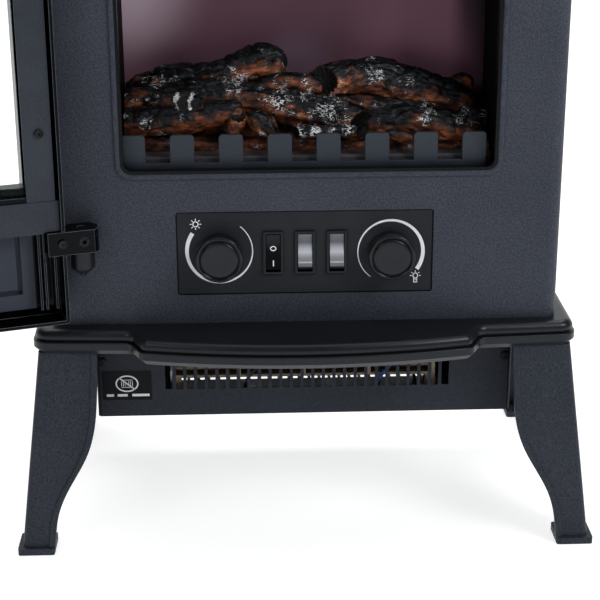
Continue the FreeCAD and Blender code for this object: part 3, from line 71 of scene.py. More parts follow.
def ramped(tree, source, stops):
    """Colour ramp through these stops, each a position and a colour."""
    node = tree.nodes.new("ShaderNodeValToRGB")
    while len(node.color_ramp.elements) < len(stops):
        node.color_ramp.elements.new(0.5)
    for element, (position, colour) in zip(node.color_ramp.elements, stops):
        element.position = position
        element.color = (*colour, 1)
    tree.links.new(source, node.inputs["Fac"])
    return node.outputs["Color"]


def ranged(tree, source, start, end, low=0.0, high=1.0, easing="LINEAR"):
    """Value carried from start..end to low..high, and held at low and high outside."""
    node = tree.nodes.new("ShaderNodeMapRange")
    node.interpolation_type = easing
    tree.links.new(source, node.inputs["Value"])
    for title, value in (("From Min", start), ("From Max", end), ("To Min", low), ("To Max", high)):
        node.inputs[title].default_value = value
    return node.outputs["Result"]


def mixed(tree, factor, a, b, blend="MIX"):
    """Colour a where the factor is 0, b where it is 1."""
    node = tree.nodes.new("ShaderNodeMix")
    node.data_type = "RGBA"
    node.blend_type = blend
    for title, value in (("Factor", factor), ("A", a), ("B", b)):
        feed(tree, node.inputs[title], value)
    return node.outputs["Result"]


def bumped(tree, height, strength, distance):
    """Bump on the shader's normal; returns the socket that takes another normal below it."""
    relief = tree.nodes.new("ShaderNodeBump")
    relief.inputs["Strength"].default_value = strength
    relief.inputs["Distance"].default_value = distance
    tree.links.new(height, relief.inputs["Height"])
    tree.links.new(relief.outputs["Normal"], tree.nodes["Principled BSDF"].inputs["Normal"])
    return relief.inputs["Normal"]


def recolour(tree, factor, low=None, high=None):
    """Base colour goes from low to high with the factor; None stands for the finish's own colour."""
    base = tree.nodes["Principled BSDF"].inputs["Base Color"]
    own = base.links[0].from_socket
    ends = [(*colour, 1) if colour else own for colour in (low, high)]
    tree.links.new(mixed(tree, factor, *ends), base)


def grain_group():
    """Group: fine orange-peel grain as a height, and slow blotches as a mask, both on Object coordinates."""
    tree = bpy.data.node_groups.new("coat_grain", "ShaderNodeTree")
    for title, start in (("Grain Size", 900.0), ("Blotch Size", 14.0)):
        tree.interface.new_socket(title, in_out="INPUT", socket_type="NodeSocketFloat").default_value = start
    for title in ("Height", "Blotch"):
        tree.interface.new_socket(title, in_out="OUTPUT", socket_type="NodeSocketFloat")
    into = tree.nodes.new("NodeGroupInput")
    out = tree.nodes.new("NodeGroupOutput")
    tree.links.new(noise(tree, into.outputs["Grain Size"], 2.5, 0.6), out.inputs["Height"])
    tree.links.new(noise(tree, into.outputs["Blotch Size"], 3.0), out.inputs["Blotch"])
    return tree


coat_grain = grain_group()


def plain_finish(name, metallic=0.0, roughness=0.5, ior=1.5, specular=0.5):
    """A new material with its own shader, and the constants set on the shader's sockets."""
    material = bpy.data.materials.new(name)
    material.use_nodes = True
    shader = material.node_tree.nodes["Principled BSDF"]
    shader.inputs["Metallic"].default_value = metallic
    shader.inputs["Roughness"].default_value = roughness
    shader.inputs["IOR"].default_value = ior
    shader.inputs["Specular IOR Level"].default_value = specular
    cool, neutral = (0.84, 0.92, 1.0, 1), (1.0, 1.0, 1.0, 1)
    shader.inputs["Specular Tint"].default_value = cool if metallic < 0.5 else neutral
    return material, material.node_tree, shader


def coat(name, low, high, roughness, spread, grain, blotch, bump, depth=0.0002, metallic=0.0, mottle=0.5,
         specular=0.5, edge=0.0, rim=None):
    """Coated or moulded finish: colour by blotches and grain, roughness by blotches, bump by grain.

    mottle is the grain's share in the colour. edge is the radius of the bevelled normals, and rim the colour
    of a painted highlight on the edges, strongest where the bevelled normal leaves the true one.
    """
    material, tree, shader = plain_finish(name, metallic, specular=specular)
    pattern = tree.nodes.new("ShaderNodeGroup")
    pattern.node_tree = coat_grain
    pattern.inputs["Grain Size"].default_value = grain
    pattern.inputs["Blotch Size"].default_value = blotch
    height = pattern.outputs["Height"]
    blotches = pattern.outputs["Blotch"]
    blend = tree.nodes.new("ShaderNodeMix")
    for title, value in (("Factor", mottle), ("A", blotches), ("B", height)):
        feed(tree, blend.inputs[title], value)
    colour = ramped(tree, blend.outputs["Result"], ((0.40, low), (0.60, high)))
    tree.links.new(colour, shader.inputs["Base Color"])
    rough = ranged(tree, blotches, 0.3, 0.7, roughness - spread, roughness + spread)
    tree.links.new(rough, shader.inputs["Roughness"])
    under = bumped(tree, height, bump, depth)
    if edge:
        softened = tree.nodes.new("ShaderNodeBevel")
        softened.samples = 6
        softened.inputs["Radius"].default_value = edge
        tree.links.new(softened.outputs["Normal"], under)
    # Painted highlight: the rim colour is mixed into the base colour on the bevelled edges.
    if rim:
        agree = tree.nodes.new("ShaderNodeVectorMath")
        agree.operation = "DOT_PRODUCT"
        tree.links.new(softened.outputs["Normal"], agree.inputs[0])
        tree.links.new(tree.nodes.new("ShaderNodeNewGeometry").outputs["True Normal"], agree.inputs[1])
        recolour(tree, ranged(tree, agree.outputs["Value"], 0.985, 0.82), high=rim)
    return material


def clothe(material, *names):
    """CAD nodes of these names take this finish."""
    for name in names:
        data = nodes[name].data
        data.materials.clear()
        data.materials.append(material)


coat_low, coat_high = (0.020, 0.023, 0.033), (0.048, 0.053, 0.071)
clothe(coat("charcoal_powder_coat", coat_low, coat_high, 0.56, 0.05, 820, 9, 0.8, mottle=0.72, specular=0.3),
       "cabinet_shell", "rear_cover")


# ------------------------------------------------------------
# Top cover: a pressed steel lid with a rolled edge, set on the wrap and screwed from inside.
# Same powder coat as the wrap, a touch smoother.
clothe(coat("charcoal_top_coat", coat_low, coat_high, 0.56, 0.05, 820, 7, 0.7, mottle=0.72, specular=0.3),
       "top_cover")


# ------------------------------------------------------------
# Plinth: the moulded hearth that the cabinet stands on, with its bowed lip and bead line.
# Injection moulded black ABS with a satin spark finish.
clothe(coat("hearth_satin_black", (0.0060, 0.0066, 0.0085), (0.0090, 0.0098, 0.0120),
            0.34, 0.05, 1300, 12, 0.25, specular=0.3), "plinth")


# ------------------------------------------------------------
# Legs: four pressed steel shells, curved and splayed, with a rolled bead down each inner edge.
# Powder coated a shade darker than the cabinet and screwed up into the plinth.
clothe(coat("leg_powder_coat", (0.011, 0.014, 0.021), (0.033, 0.037, 0.050),
            0.54, 0.06, 820, 11, 0.8, mottle=0.75, specular=0.25),
       "leg_front_left", "leg_front_right", "leg_rear_left", "leg_rear_right")


# ------------------------------------------------------------
# Fixings: pan-head screws in the cabinet and the door, and the turned shafts.
# Rolled thread steel in black zinc with faint turning lines on the heads; the shafts are bare.
clothe(coat("black_zinc_steel", (0.012, 0.012, 0.013), (0.028, 0.028, 0.029),
            0.28, 0.1, 2400, 260, 0.3, 0.00005, 1.0), "cabinet_screws", "door_screws")
clothe(coat("bare_turned_steel", (0.42, 0.42, 0.41), (0.56, 0.56, 0.54),
            0.27, 0.06, 3000, 90, 0.2, 0.00003, 1.0), "thermostat_shaft", "dimmer_shaft", "blower_shaft")


# ------------------------------------------------------------
# Mains entry: a moulded gland in the rear cover and the terminal strip behind it.
# Nylon gland, urea terminal strip with brass inserts.
clothe(coat("gland_nylon", (0.010, 0.010, 0.011), (0.016, 0.016, 0.017), 0.52, 0.06, 1500, 80, 0.3),
       "cable_gland")
clothe(coat("terminal_urea", (0.55, 0.50, 0.40), (0.66, 0.61, 0.50), 0.42, 0.06, 900, 60, 0.2),
       "terminal_block")


# ------------------------------------------------------------
# Window trim: the black ring that lines the fire window's cut edge.
# Roll-formed strip, lacquered black.
clothe(coat("trim_black", (0.0020, 0.0022, 0.0028), (0.0030, 0.0034, 0.0040),
            0.3, 0.04, 1600, 30, 0.15, specular=0.15), "window_trim")


# ------------------------------------------------------------
# Firebox: a four-sided shroud and the shelf below it.
# Thin sheet, sprayed matt black inside; the shelf's front shows a dull mauve-grey primer.
clothe(coat("firebox_matt_black", (0.0012, 0.0012, 0.0014), (0.0022, 0.0020, 0.0022),
            0.8, 0.06, 1100, 20, 0.3, specular=0.08), "firebox_shroud")
clothe(coat("fire_shelf_primer", (0.045, 0.036, 0.045), (0.060, 0.048, 0.058), 0.66, 0.06, 900, 40, 0.4),
       "fire_shelf")


# ------------------------------------------------------------
# Ember fence: the row of tabs in front of the fuel bed, cut from one moulded strip.
# Blue-grey matt ABS whose broken edges catch the light.
clothe(coat("fence_blue_grey", (0.012, 0.016, 0.024), (0.018, 0.024, 0.034),
            0.5, 0.06, 1100, 60, 0.35, edge=0.0007), "ember_fence")


# ------------------------------------------------------------
# Log set: the imitation fuel bed, one piece cast in fire-proof resin from real twigs and bark.
# Brushed charcoal over an orange-brown undercoat, glazed, with pale ash dabbed on by hand; pale arcs on two
# cut ends are a painted highlight.
def lattice_noise(p, seed):
    """Value noise: each lattice corner has a hashed value, blended with a smooth cubic weight."""
    base = np.floor(p).astype(np.int64)
    part = p - base
    part = part * part * (3 - 2 * part)
    total = np.zeros(len(p))
    for corner in range(8):
        step = np.array([corner & 1, corner >> 1 & 1, corner >> 2 & 1])
        cell = base + step
        hashed = (cell[:, 0] * 73856093) ^ (cell[:, 1] * 19349663) ^ (cell[:, 2] * 83492791)
        hashed = hashed ^ (seed * 2654435761)
        hashed = (hashed ^ (hashed >> 13)) * 1274126177 & 0xFFFFFFFF
        value = ((hashed ^ (hashed >> 16)) & 0xFFFF) / 65535.0
        total += value * np.where(step, part, 1 - part).prod(axis=1)
    return total


def tube_quads(rings, around):
    """Quads between each ring of points and the next, closed round the ring."""
    hops = np.arange(around)
    nexts = (hops + 1) % around
    starts = np.arange(rings - 1)[:, None] * around
    corners = (starts + hops, starts + nexts, starts + around + nexts, starts + around + hops)
    return np.stack(corners, -1).reshape(-1, 4)


def placed(name, data):
    """New object of this mesh, light or camera, linked to the scene."""
    item = bpy.data.objects.new(name, data)
    bpy.context.scene.collection.objects.link(item)
    return item


def barked_log(stations, seed, cuts, rings, around):
    """Bark-covered log: circles along a smoothed centre line whose radius swells with long ridges and lumps.

    A station is (x, y, z, radius). The ends are domed, or slanted and dished where the log is sawn through.
    Returns points, quads and triangles and, for each point, how far the surface faces down and whether it is
    end grain.
    """
    stations = np.array(stations)
    run = np.concatenate([[0], np.cumsum(np.linalg.norm(np.diff(stations[:, :3], axis=0), axis=1))])
    fine = np.linspace(0, run[-1], 400)
    table = np.stack([np.interp(fine, run, stations[:, k]) for k in range(4)], axis=1)
    kernel = np.hanning(63) / np.hanning(63).sum()
    padded = np.pad(table, ((31, 31), (0, 0)), mode="reflect", reflect_type="odd")
    table = np.stack([np.convolve(padded[:, k], kernel, "valid") for k in range(4)], axis=1)
    reach = np.linspace(0, run[-1], rings)
    centre = np.stack([np.interp(reach, fine, table[:, k]) for k in range(3)], axis=1)
    radius = np.interp(reach, fine, table[:, 3])
    along = np.gradient(centre, axis=0)
    along /= np.linalg.norm(along, axis=1)[:, None]
    side = np.cross(along, (0, 0, 1.0))
    side /= np.linalg.norm(side, axis=1)[:, None]
    over = np.cross(side, along)
    scale = np.ones(rings)
    ends = ((0, reach), (1, run[-1] - reach))
    for at_end, distance in ends:
        if not cuts[at_end]:
            scale *= np.sqrt(np.clip(1 - (1 - np.clip(distance / radius, 0, 1)) ** 2, 0.0, 1))
    scale = np.maximum(scale, 0.04)
    angle = np.linspace(0, 2 * math.pi, around, endpoint=False)
    spoke = np.cos(angle)[None, :, None] * side[:, None, :] + np.sin(angle)[None, :, None] * over[:, None, :]
    flat = spoke.reshape(-1, 3)
    place = np.repeat(centre, around, axis=0) + flat * np.repeat(radius, around)[:, None]
    local = np.stack([np.tile(np.cos(angle), rings) * 2.6, np.tile(np.sin(angle), rings) * 2.6,
                      np.repeat(reach, around) * 45], axis=1)
    ridge = 1 - np.abs(2 * lattice_noise(local, seed) - 1)
    crack = 1 - np.abs(2 * lattice_noise(local * (2.8, 2.8, 2.2), seed + 7) - 1)
    lump = lattice_noise(place * 62, seed + 3) - 0.5
    knot = lattice_noise(place * 150, seed + 9) - 0.5
    grit = lattice_noise(place * 600, seed + 5) - 0.5
    swell = (1 + 0.20 * (ridge - 0.5) - 0.16 * np.clip(crack - 0.66, 0, 1) * 2.8 + 0.30 * lump + 0.12 * knot
             + 0.06 * grit)
    full = np.repeat(radius * scale, around) * swell
    points = np.repeat(centre, around, axis=0) + flat * full[:, None]
    for at_end, distance in ends:
        if cuts[at_end]:
            share = np.repeat(np.clip(1 - distance / (2.5 * radius), 0, 1), around)
            slant = share * flat[:, 1] * full * (1 if at_end else -1) * 0.6
            points += np.repeat(along, around, axis=0) * slant[:, None]
    blocks = [points]
    downs = [-flat[:, 2] + 0.9 * lump + 0.8 * knot + 0.5 * (ridge - 0.5) + 0.3 * grit]
    grains = [np.zeros(len(points))]
    for at_end, ring, sense in ((0, 0, 1), (1, rings - 1, -1)):
        rim = points.reshape(rings, around, 3)[ring]
        middle = rim.mean(axis=0)
        for share, depth in ((0.86, 0.02), (0.6, 0.16), (0.3, 0.22)):
            inward = along[ring] * sense * depth * radius[ring] * cuts[at_end]
            blocks.append(middle + (rim - middle) * share + inward)
            downs.append(np.zeros(around))
            grains.append(np.full(around, float(cuts[at_end])))
        blocks.append((middle + along[ring] * sense * 0.24 * radius[ring] * cuts[at_end])[None])
        downs.append(np.zeros(1))
        grains.append(np.full(1, float(cuts[at_end])))
    quads = [tube_quads(rings, around)]
    hops = np.arange(around)
    nexts = (hops + 1) % around
    offset = rings * around
    tris = []
    for first, flip in ((0, False), ((rings - 1) * around, True)):
        outer = first
        for step in range(3):
            ring = np.stack([outer + hops, offset + hops, offset + nexts, outer + nexts], -1)
            quads.append(ring[:, ::-1] if flip else ring)
            outer = offset
            offset += around
        fan = np.stack([outer + hops, np.full(around, offset), outer + nexts], -1)
        tris.append(fan[:, ::-1] if flip else fan)
        offset += 1
    return [np.concatenate(part) for part in (blocks, quads, tris, downs, grains)]


log_stations = (
    ("back_left", (0, 0), 110, 52, (
        (-0.0201, 0.0024, 0.3035, 0.0115), (0.0012, 0.0024, 0.314, 0.0125),
        (0.0224, 0.0024, 0.3228, 0.0135), (0.0435, 0.0004, 0.324, 0.0135),
        (0.0569, 0.0004, 0.327, 0.0125), (0.078, 0.0004, 0.3265, 0.012))),
    ("knobbed", (0, 0), 90, 56, (
        (0.0404, -0.0036, 0.3216, 0.0105), (0.0589, -0.0026, 0.3285, 0.0112),
        (0.0742, -0.0016, 0.3355, 0.0116), (0.089, -0.0016, 0.3385, 0.0122),
        (0.104, -0.0026, 0.333, 0.0108))),
    ("long_front", (0, 1), 150, 60, (
        (-0.0188, -0.01, 0.3105, 0.0096), (0.0114, -0.011, 0.313, 0.0114),
        (0.0474, -0.012, 0.3165, 0.0132), (0.0813, -0.013, 0.315, 0.0132),
        (0.118, -0.019, 0.308, 0.0122), (0.1545, -0.0325, 0.3005, 0.0108))),
    ("left_low", (0, 0), 110, 44, (
        (-0.0173, -0.0266, 0.301, 0.0076), (0.006, -0.0266, 0.302, 0.0092),
        (0.0304, -0.0266, 0.304, 0.01), (0.053, -0.0266, 0.3076, 0.0092),
        (0.074, -0.0256, 0.311, 0.007))),
    ("left_edge", (0, 0), 60, 32, (
        (-0.0186, -0.0196, 0.3066, 0.0049), (0.0021, -0.0206, 0.3066, 0.0053),
        (0.0247, -0.0216, 0.3084, 0.0045))),
    ("stump", (0, 1), 60, 36, (
        (0.0621, -0.0336, 0.2926, 0.005), (0.0688, -0.0326, 0.3035, 0.0068),
        (0.07, -0.0336, 0.3085, 0.006))),
    ("stump_right", (0, 0), 50, 34, (
        (0.0760, -0.0320, 0.3085, 0.0060), (0.0850, -0.0330, 0.3035, 0.0070),
        (0.0900, -0.0336, 0.2940, 0.0050))),
    ("knob_mid", (0, 0), 36, 30, (
        (0.0913, -0.0326, 0.3072, 0.0034), (0.0912, -0.0346, 0.2991, 0.0052),
        (0.0939, -0.0346, 0.2924, 0.0045))),
    ("twig", (1, 1), 60, 20, (
        (0.109, -0.039, 0.2972, 0.004), (0.1294, -0.0395, 0.2978, 0.0041),
        (0.152, -0.039, 0.2978, 0.0036))),
    ("right_upper", (1, 0), 130, 60, (
        (0.129, -0.02, 0.3285, 0.0098), (0.145, -0.014, 0.329, 0.0108),
        (0.1674, -0.005, 0.3265, 0.0128), (0.1925, -0.0036, 0.319, 0.013),
        (0.2158, -0.0036, 0.3115, 0.0126), (0.2371, -0.0036, 0.3055, 0.009))),
    ("right_under", (0, 0), 90, 44, (
        (0.1270, -0.0120, 0.3175, 0.0060), (0.1430, -0.0130, 0.3110, 0.0080),
        (0.1640, -0.0150, 0.3055, 0.0095), (0.1900, -0.0130, 0.3050, 0.0095),
        (0.2150, -0.0110, 0.3020, 0.0080))),
    ("right_knob", (0, 0), 60, 40, (
        (0.1503, -0.0006, 0.3341, 0.005), (0.1657, 0.0004, 0.3347, 0.0069),
        (0.1829, 0.0004, 0.3316, 0.0057))),
    ("bridge", (0, 0), 60, 34, (
        (0.083, -0.0116, 0.3235, 0.006), (0.1002, -0.0116, 0.3262, 0.0072),
        (0.1193, -0.0116, 0.3246, 0.0066), (0.1345, -0.0106, 0.3187, 0.0055))),
    ("right_low", (0, 0), 110, 52, (
        (0.154, -0.019, 0.2985, 0.0094), (0.1774, -0.0216, 0.3, 0.0108),
        (0.2002, -0.0236, 0.2995, 0.011), (0.2212, -0.0236, 0.2958, 0.0104),
        (0.2404, -0.0236, 0.2927, 0.008))),
    ("right_end_top", (0, 0), 50, 40, (
        (0.2204, -0.0136, 0.3013, 0.005), (0.2338, -0.0136, 0.3021, 0.0076),
        (0.2455, -0.0136, 0.299, 0.0057))),
    ("far_stub", (0, 0), 40, 36, (
        (0.2183, 0.0044, 0.3223, 0.0039), (0.226, 0.0044, 0.3222, 0.0058),
        (0.2358, 0.0044, 0.3186, 0.005))),
    ("dark_bit", (0, 0), 36, 24, (
        (0.1707, -0.0356, 0.2959, 0.0026), (0.1802, -0.0356, 0.2925, 0.0038),
        (0.1896, -0.0356, 0.2914, 0.0028))),
    ("bed_a", (0, 0), 220, 30, (
        (-0.0174, -0.0236, 0.2864, 0.0064), (0.0241, -0.0236, 0.2853, 0.0061),
        (0.0656, -0.0246, 0.2846, 0.0061), (0.1111, -0.0246, 0.2844, 0.0061),
        (0.1567, -0.0246, 0.2838, 0.0061), (0.2043, -0.0246, 0.2827, 0.0061),
        (0.2523, -0.0236, 0.2822, 0.0061))),
    ("bed_b", (0, 0), 160, 36, (
        (-0.0186, -0.0056, 0.2878, 0.0115), (0.0426, -0.0056, 0.288, 0.0123),
        (0.1195, -0.0056, 0.287, 0.0123), (0.1968, -0.0056, 0.286, 0.012),
        (0.2512, -0.0056, 0.2834, 0.0097))),
    ("hooked_1", (0, 1), 30, 24, (
        (0.0385, -0.016, 0.313, 0.0044), (0.0345, -0.026, 0.315, 0.0046),
        (0.0322, -0.033, 0.3165, 0.0043))),
    ("hooked_2", (0, 1), 30, 24, (
        (0.048, -0.016, 0.3125, 0.0044), (0.044, -0.026, 0.3145, 0.0046),
        (0.0417, -0.033, 0.316, 0.0043))),
)
# Spots of ash, each x, z, spread, strength; the eight small spots of strength 7 are a painted highlight on
# the left rims of the two hooked stubs' cut ends.
ash_and_highlight_spots = (
    (0.0702, 0.3298, 0.0045, 1.5), (0.0124, 0.3285, 0.006, 1.0), (0.1639, 0.3320, 0.007, 1.1),
    (0.1832, 0.3246, 0.006, 0.9), (0.1173, 0.3199, 0.007, 1.0), (0.1301, 0.3105, 0.010, 1.1),
    (0.1001, 0.3176, 0.010, 1.0), (0.0092, 0.3028, 0.004, 1.3), (0.1982, 0.3066, 0.005, 1.2),
    (0.1428, 0.3064, 0.005, 1.2), (0.1387, 0.3290, 0.004, 1.1), (0.0650, 0.3290, 0.006, 1.0),
    (0.0284, 0.3198, 0.0010, 7.0), (0.0277, 0.3182, 0.0010, 7.0), (0.0277, 0.3164, 0.0010, 7.0),
    (0.0284, 0.3146, 0.0010, 7.0), (0.0379, 0.3193, 0.0010, 7.0), (0.0372, 0.3177, 0.0010, 7.0),
    (0.0372, 0.3159, 0.0010, 7.0), (0.0379, 0.3141, 0.0010, 7.0), (0.1120, 0.2975, 0.003, 2.4),
    (0.1220, 0.2985, 0.003, 1.9), (0.1330, 0.2985, 0.003, 2.0), (0.1440, 0.2985, 0.003, 1.8),
    (0.0700, 0.3040, 0.003, 1.2), (0.2250, 0.3050, 0.004, 0.9), (0.2400, 0.3010, 0.004, 0.9),
    (-0.010, 0.3120, 0.005, 0.9), (0.0180, 0.2930, 0.004, 1.1), (0.0860, 0.2960, 0.003, 1.2),
    (0.2300, 0.2900, 0.004, 0.9),
)
log_low, log_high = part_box("log_set")
tints = {"bridge": 0.35, "right_under": 0.45, "left_edge": 0.3, "far_stub": 0.2, "right_knob": 0.15,
         "stump": 0.1, "twig": -0.9}


def cast_logs():
    """All the logs in one mesh, trimmed to the fuel bed's room, with soot, ashes, a painted highlight and end
    grain on the points.

    Soot falls off with how far a point faces down and with its log's tint. Ashes and painted highlight take
    the strongest of the bell curves round the spots, each (x, z, spread, strength).
    """
    points, quads, tris, downs, grains = [], [], [], [], []
    offset = 0
    for number, (name, cuts, rings, around, stations) in enumerate(log_stations):
        p, q, t, d, g = barked_log(stations, 11 + 13 * number, cuts, rings, around)
        points.append(p)
        quads.append(q + offset)
        tris.append(t + offset)
        downs.append(d * 0.5 + 0.25 if name.startswith("bed") else d + tints.get(name, 0.0))
        grains.append(g)
        offset += len(p)
    whole = [np.concatenate(part) for part in (points, quads, tris, downs, grains)]
    points, quads, tris, downs, grains = whole
    points = np.clip(points, np.array(log_low) + 0.0003, np.array(log_high) - 0.0003)
    soot = np.clip(0.62 - 1.15 * downs + 0.9 * (lattice_noise(points * 140, 5) - 0.5), 0, 1)
    ash_and_highlight = np.zeros(len(points))
    for x, z, spread, power in ash_and_highlight_spots:
        near = (points[:, 0] - x) ** 2 + (points[:, 2] - z) ** 2
        ash_and_highlight = np.maximum(ash_and_highlight, power * np.exp(-near / (2 * spread ** 2)))
    mesh = bpy.data.meshes.new("cast_logs")
    corners = np.concatenate([quads.ravel(), tris.ravel()])
    sizes = np.concatenate([np.full(len(quads), 4), np.full(len(tris), 3)])
    mesh.vertices.add(len(points))
    mesh.vertices.foreach_set("co", points.ravel())
    mesh.loops.add(len(corners))
    mesh.loops.foreach_set("vertex_index", corners)
    mesh.polygons.add(len(sizes))
    mesh.polygons.foreach_set("loop_start", np.concatenate([[0], np.cumsum(sizes)[:-1]]))
    mesh.update(calc_edges=True)
    for title, values in (("soot", soot), ("ash_and_highlight", ash_and_highlight), ("end_grain", grains)):
        mesh.attributes.new(title, "FLOAT", "POINT").data.foreach_set("value", values.astype(np.float32))
    mesh.shade_smooth()
    mesh.validate()
    return placed("cast_logs", mesh)


def figure(tree, operation, *values):
    """Math node on these sockets or constants."""
    node = tree.nodes.new("ShaderNodeMath")
    node.operation = operation
    for socket, value in zip(node.inputs, values):
        feed(tree, socket, value)
    return node.outputs["Value"]


def strength(tree, title):
    """Strength kept on the mesh's points."""
    node = tree.nodes.new("ShaderNodeAttribute")
    node.attribute_name = title
    return node.outputs["Fac"]


def burnt_finish():
    """Charcoal over orange-brown by the soot strength, dark end grain, and ashes and a painted highlight in
    thin veins.

    A vein is where noise is closer to its middle value than a width that grows with the strength of ashes and
    painted highlight.
    """
    material, tree, shader = plain_finish("charred_log", 0.0, 0.42, specular=0.22)
    char = ramped(tree, noise(tree, 460, 4.0, stretch=(0.4, 1, 1)), (
        (0.42, (0.0018, 0.0017, 0.0019)), (0.56, (0.0050, 0.0048, 0.0055)), (0.74, (0.034, 0.036, 0.043))))
    ember = ramped(tree, noise(tree, 230, 4.0, stretch=(0.6, 1, 1)), (
        (0.36, (0.030, 0.011, 0.008)), (0.54, (0.15, 0.045, 0.018)), (0.72, (0.42, 0.135, 0.046))))
    grain = ramped(tree, noise(tree, 500, 3.0), (
        (0.4, (0.0012, 0.0009, 0.0009)), (0.7, (0.0050, 0.0032, 0.0028))))
    white = ramped(tree, noise(tree, 900), ((0.3, (0.42, 0.43, 0.45)), (0.7, (0.85, 0.86, 0.88))))
    vein = figure(tree, "ABSOLUTE", figure(tree, "SUBTRACT", noise(tree, 520, 3.0, stretch=(0.5, 1, 1)), 0.5))
    room = figure(tree, "ADD", noise(tree, 150, 3.0), figure(tree, "MULTIPLY", strength(tree, "ash_and_highlight"), 0.24))
    width = figure(tree, "MULTIPLY", figure(tree, "SUBTRACT", room, 0.60), 0.15)
    fleck = tree.nodes.new("ShaderNodeClamp")
    feed(tree, fleck.inputs["Value"], figure(tree, "MULTIPLY", figure(tree, "SUBTRACT", width, vein), 90.0))
    bark = mixed(tree, strength(tree, "soot"), ember, char)
    dusted = mixed(tree, fleck.outputs["Result"], bark, white)
    tree.links.new(mixed(tree, strength(tree, "end_grain"), dusted, grain), shader.inputs["Base Color"])
    tree.links.new(ranged(tree, noise(tree, 300), 0.0, 1.0, 0.2, 0.62), shader.inputs["Roughness"])
    bumped(tree, noise(tree, 480, 5.0, stretch=(0.45, 1, 1)), 0.7, 0.0012)
    return material


cast_log_set = cast_logs()
cast_log_set.data.materials.append(burnt_finish())
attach(cast_log_set, "cabinet")
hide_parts("log_set")


# ------------------------------------------------------------
# Log tray: the shallow board under the logs that their front row is bedded on.
# Sprayed a dull mauve grey; its front face shows between the fence's tabs.
def rounded_board(name, low, high, bend, turns=5):
    """Box with rounded upright corners and a rounded top edge: inset rings of one rounded rectangle."""
    quarter = np.linspace(0, math.pi / 2, turns)
    cx = (low[0] + high[0]) / 2
    cy = (low[1] + high[1]) / 2
    hx = (high[0] - low[0]) / 2
    hy = (high[1] - low[1]) / 2
    angle = np.concatenate([quarter + k * math.pi / 2 for k in range(4)])
    sx = np.repeat([1, -1, -1, 1], turns)
    sy = np.repeat([1, 1, -1, -1], turns)
    levels = [(low[2], 0.0)]
    levels += [(high[2] - bend * (1 - math.sin(a)), bend * (1 - math.cos(a))) for a in quarter]
    rings = []
    for z, inset in levels:
        corner = max(bend - inset, 1e-5)
        x = cx + sx * (hx - bend) + corner * np.cos(angle)
        y = cy + sy * (hy - bend) + corner * np.sin(angle)
        rings.append(np.stack([x, y, np.full(len(x), z)], axis=1))
    count = len(angle)
    top = (len(levels) - 1) * count
    faces = tube_quads(len(levels), count).tolist()
    faces += [list(range(count))[::-1], list(range(top, top + count))]
    mesh = bpy.data.meshes.new(name)
    mesh.from_pydata(np.concatenate(rings).tolist(), [], faces)
    return placed(name, mesh)


tray_top = 0.2826
log_tray = rounded_board("log_tray", (log_low[0] + 0.0004, log_low[1] + 0.0004, log_low[2] + 0.0001),
                         (log_high[0] - 0.0004, log_high[1] - 0.0004, tray_top), 0.0015)
tray_mauve = coat("tray_mauve", (0.030, 0.026, 0.031), (0.058, 0.050, 0.058), 0.62, 0.06, 600, 60, 0.4)
log_tray.data.materials.append(tray_mauve)
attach(log_tray, "cabinet")
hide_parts("log_set")


# ------------------------------------------------------------
# Flame screen: a smoked acrylic sheet, sand-blasted behind, standing upright at the back of the fire.
# Cast sheet, laser cut; its soft mauve clouds are painted light and shade, with painted shade dark at the far
# right.
def split_place(tree):
    """Object coordinates, and their X, Y and Z sockets."""
    place = tree.nodes.new("ShaderNodeTexCoord").outputs["Object"]
    split = tree.nodes.new("ShaderNodeSeparateXYZ")
    tree.links.new(place, split.inputs["Vector"])
    return place, split.outputs


def screen_painted_light_and_shade():
    """Painted light and shade: colour bands across the sheet, and patches as smooth falloffs of the distance
    to fixed points.
    """
    material, tree, shader = plain_finish("smoked_screen", 0.0, 0.6, specular=0.12)
    place, axes = split_place(tree)
    colour = ramped(tree, ranged(tree, axes["X"], screen_low[0], screen_high[0]), (
        (0.0, (0.170, 0.080, 0.113)), (0.30, (0.130, 0.061, 0.086)), (0.50, (0.112, 0.053, 0.074)),
        (0.62, (0.125, 0.059, 0.083)), (0.80, (0.210, 0.098, 0.138)), (0.90, (0.250, 0.115, 0.162)),
        (0.945, (0.060, 0.030, 0.041)), (1.0, (0.008, 0.006, 0.007))))
    for x, z, spread, shade, depth in painted_light_and_shade_patches:
        away = tree.nodes.new("ShaderNodeVectorMath")
        away.operation = "DISTANCE"
        away.inputs[1].default_value = (x, screen_low[1], z)
        tree.links.new(place, away.inputs[0])
        fall = ranged(tree, away.outputs["Value"], 0.0, spread, depth, 0.0, "SMOOTHERSTEP")
        colour = mixed(tree, fall, colour, (*shade, 1))
    veiled = mixed(tree, 0.35, colour, noise(tree, 14.0), "MULTIPLY")
    tree.links.new(veiled, shader.inputs["Base Color"])
    return material


screen_low, screen_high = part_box("flame_screen")
# Painted light and shade: pale patches are painted light, dark ones painted shade; each is x, z, spread,
# colour, strength.
painted_light_and_shade_patches = (
    (0.020, 0.334, 0.030, (0.050, 0.022, 0.036), 0.4), (0.195, 0.320, 0.075, (0.360, 0.165, 0.235), 0.8),
    (0.112, 0.330, 0.040, (0.200, 0.135, 0.195), 0.55), (0.262, 0.345, 0.035, (0.006, 0.004, 0.005), 0.9),
    (-0.016, 0.392, 0.080, (0.680, 0.530, 0.620), 1.0),
)
clothe(screen_painted_light_and_shade(), "flame_screen")


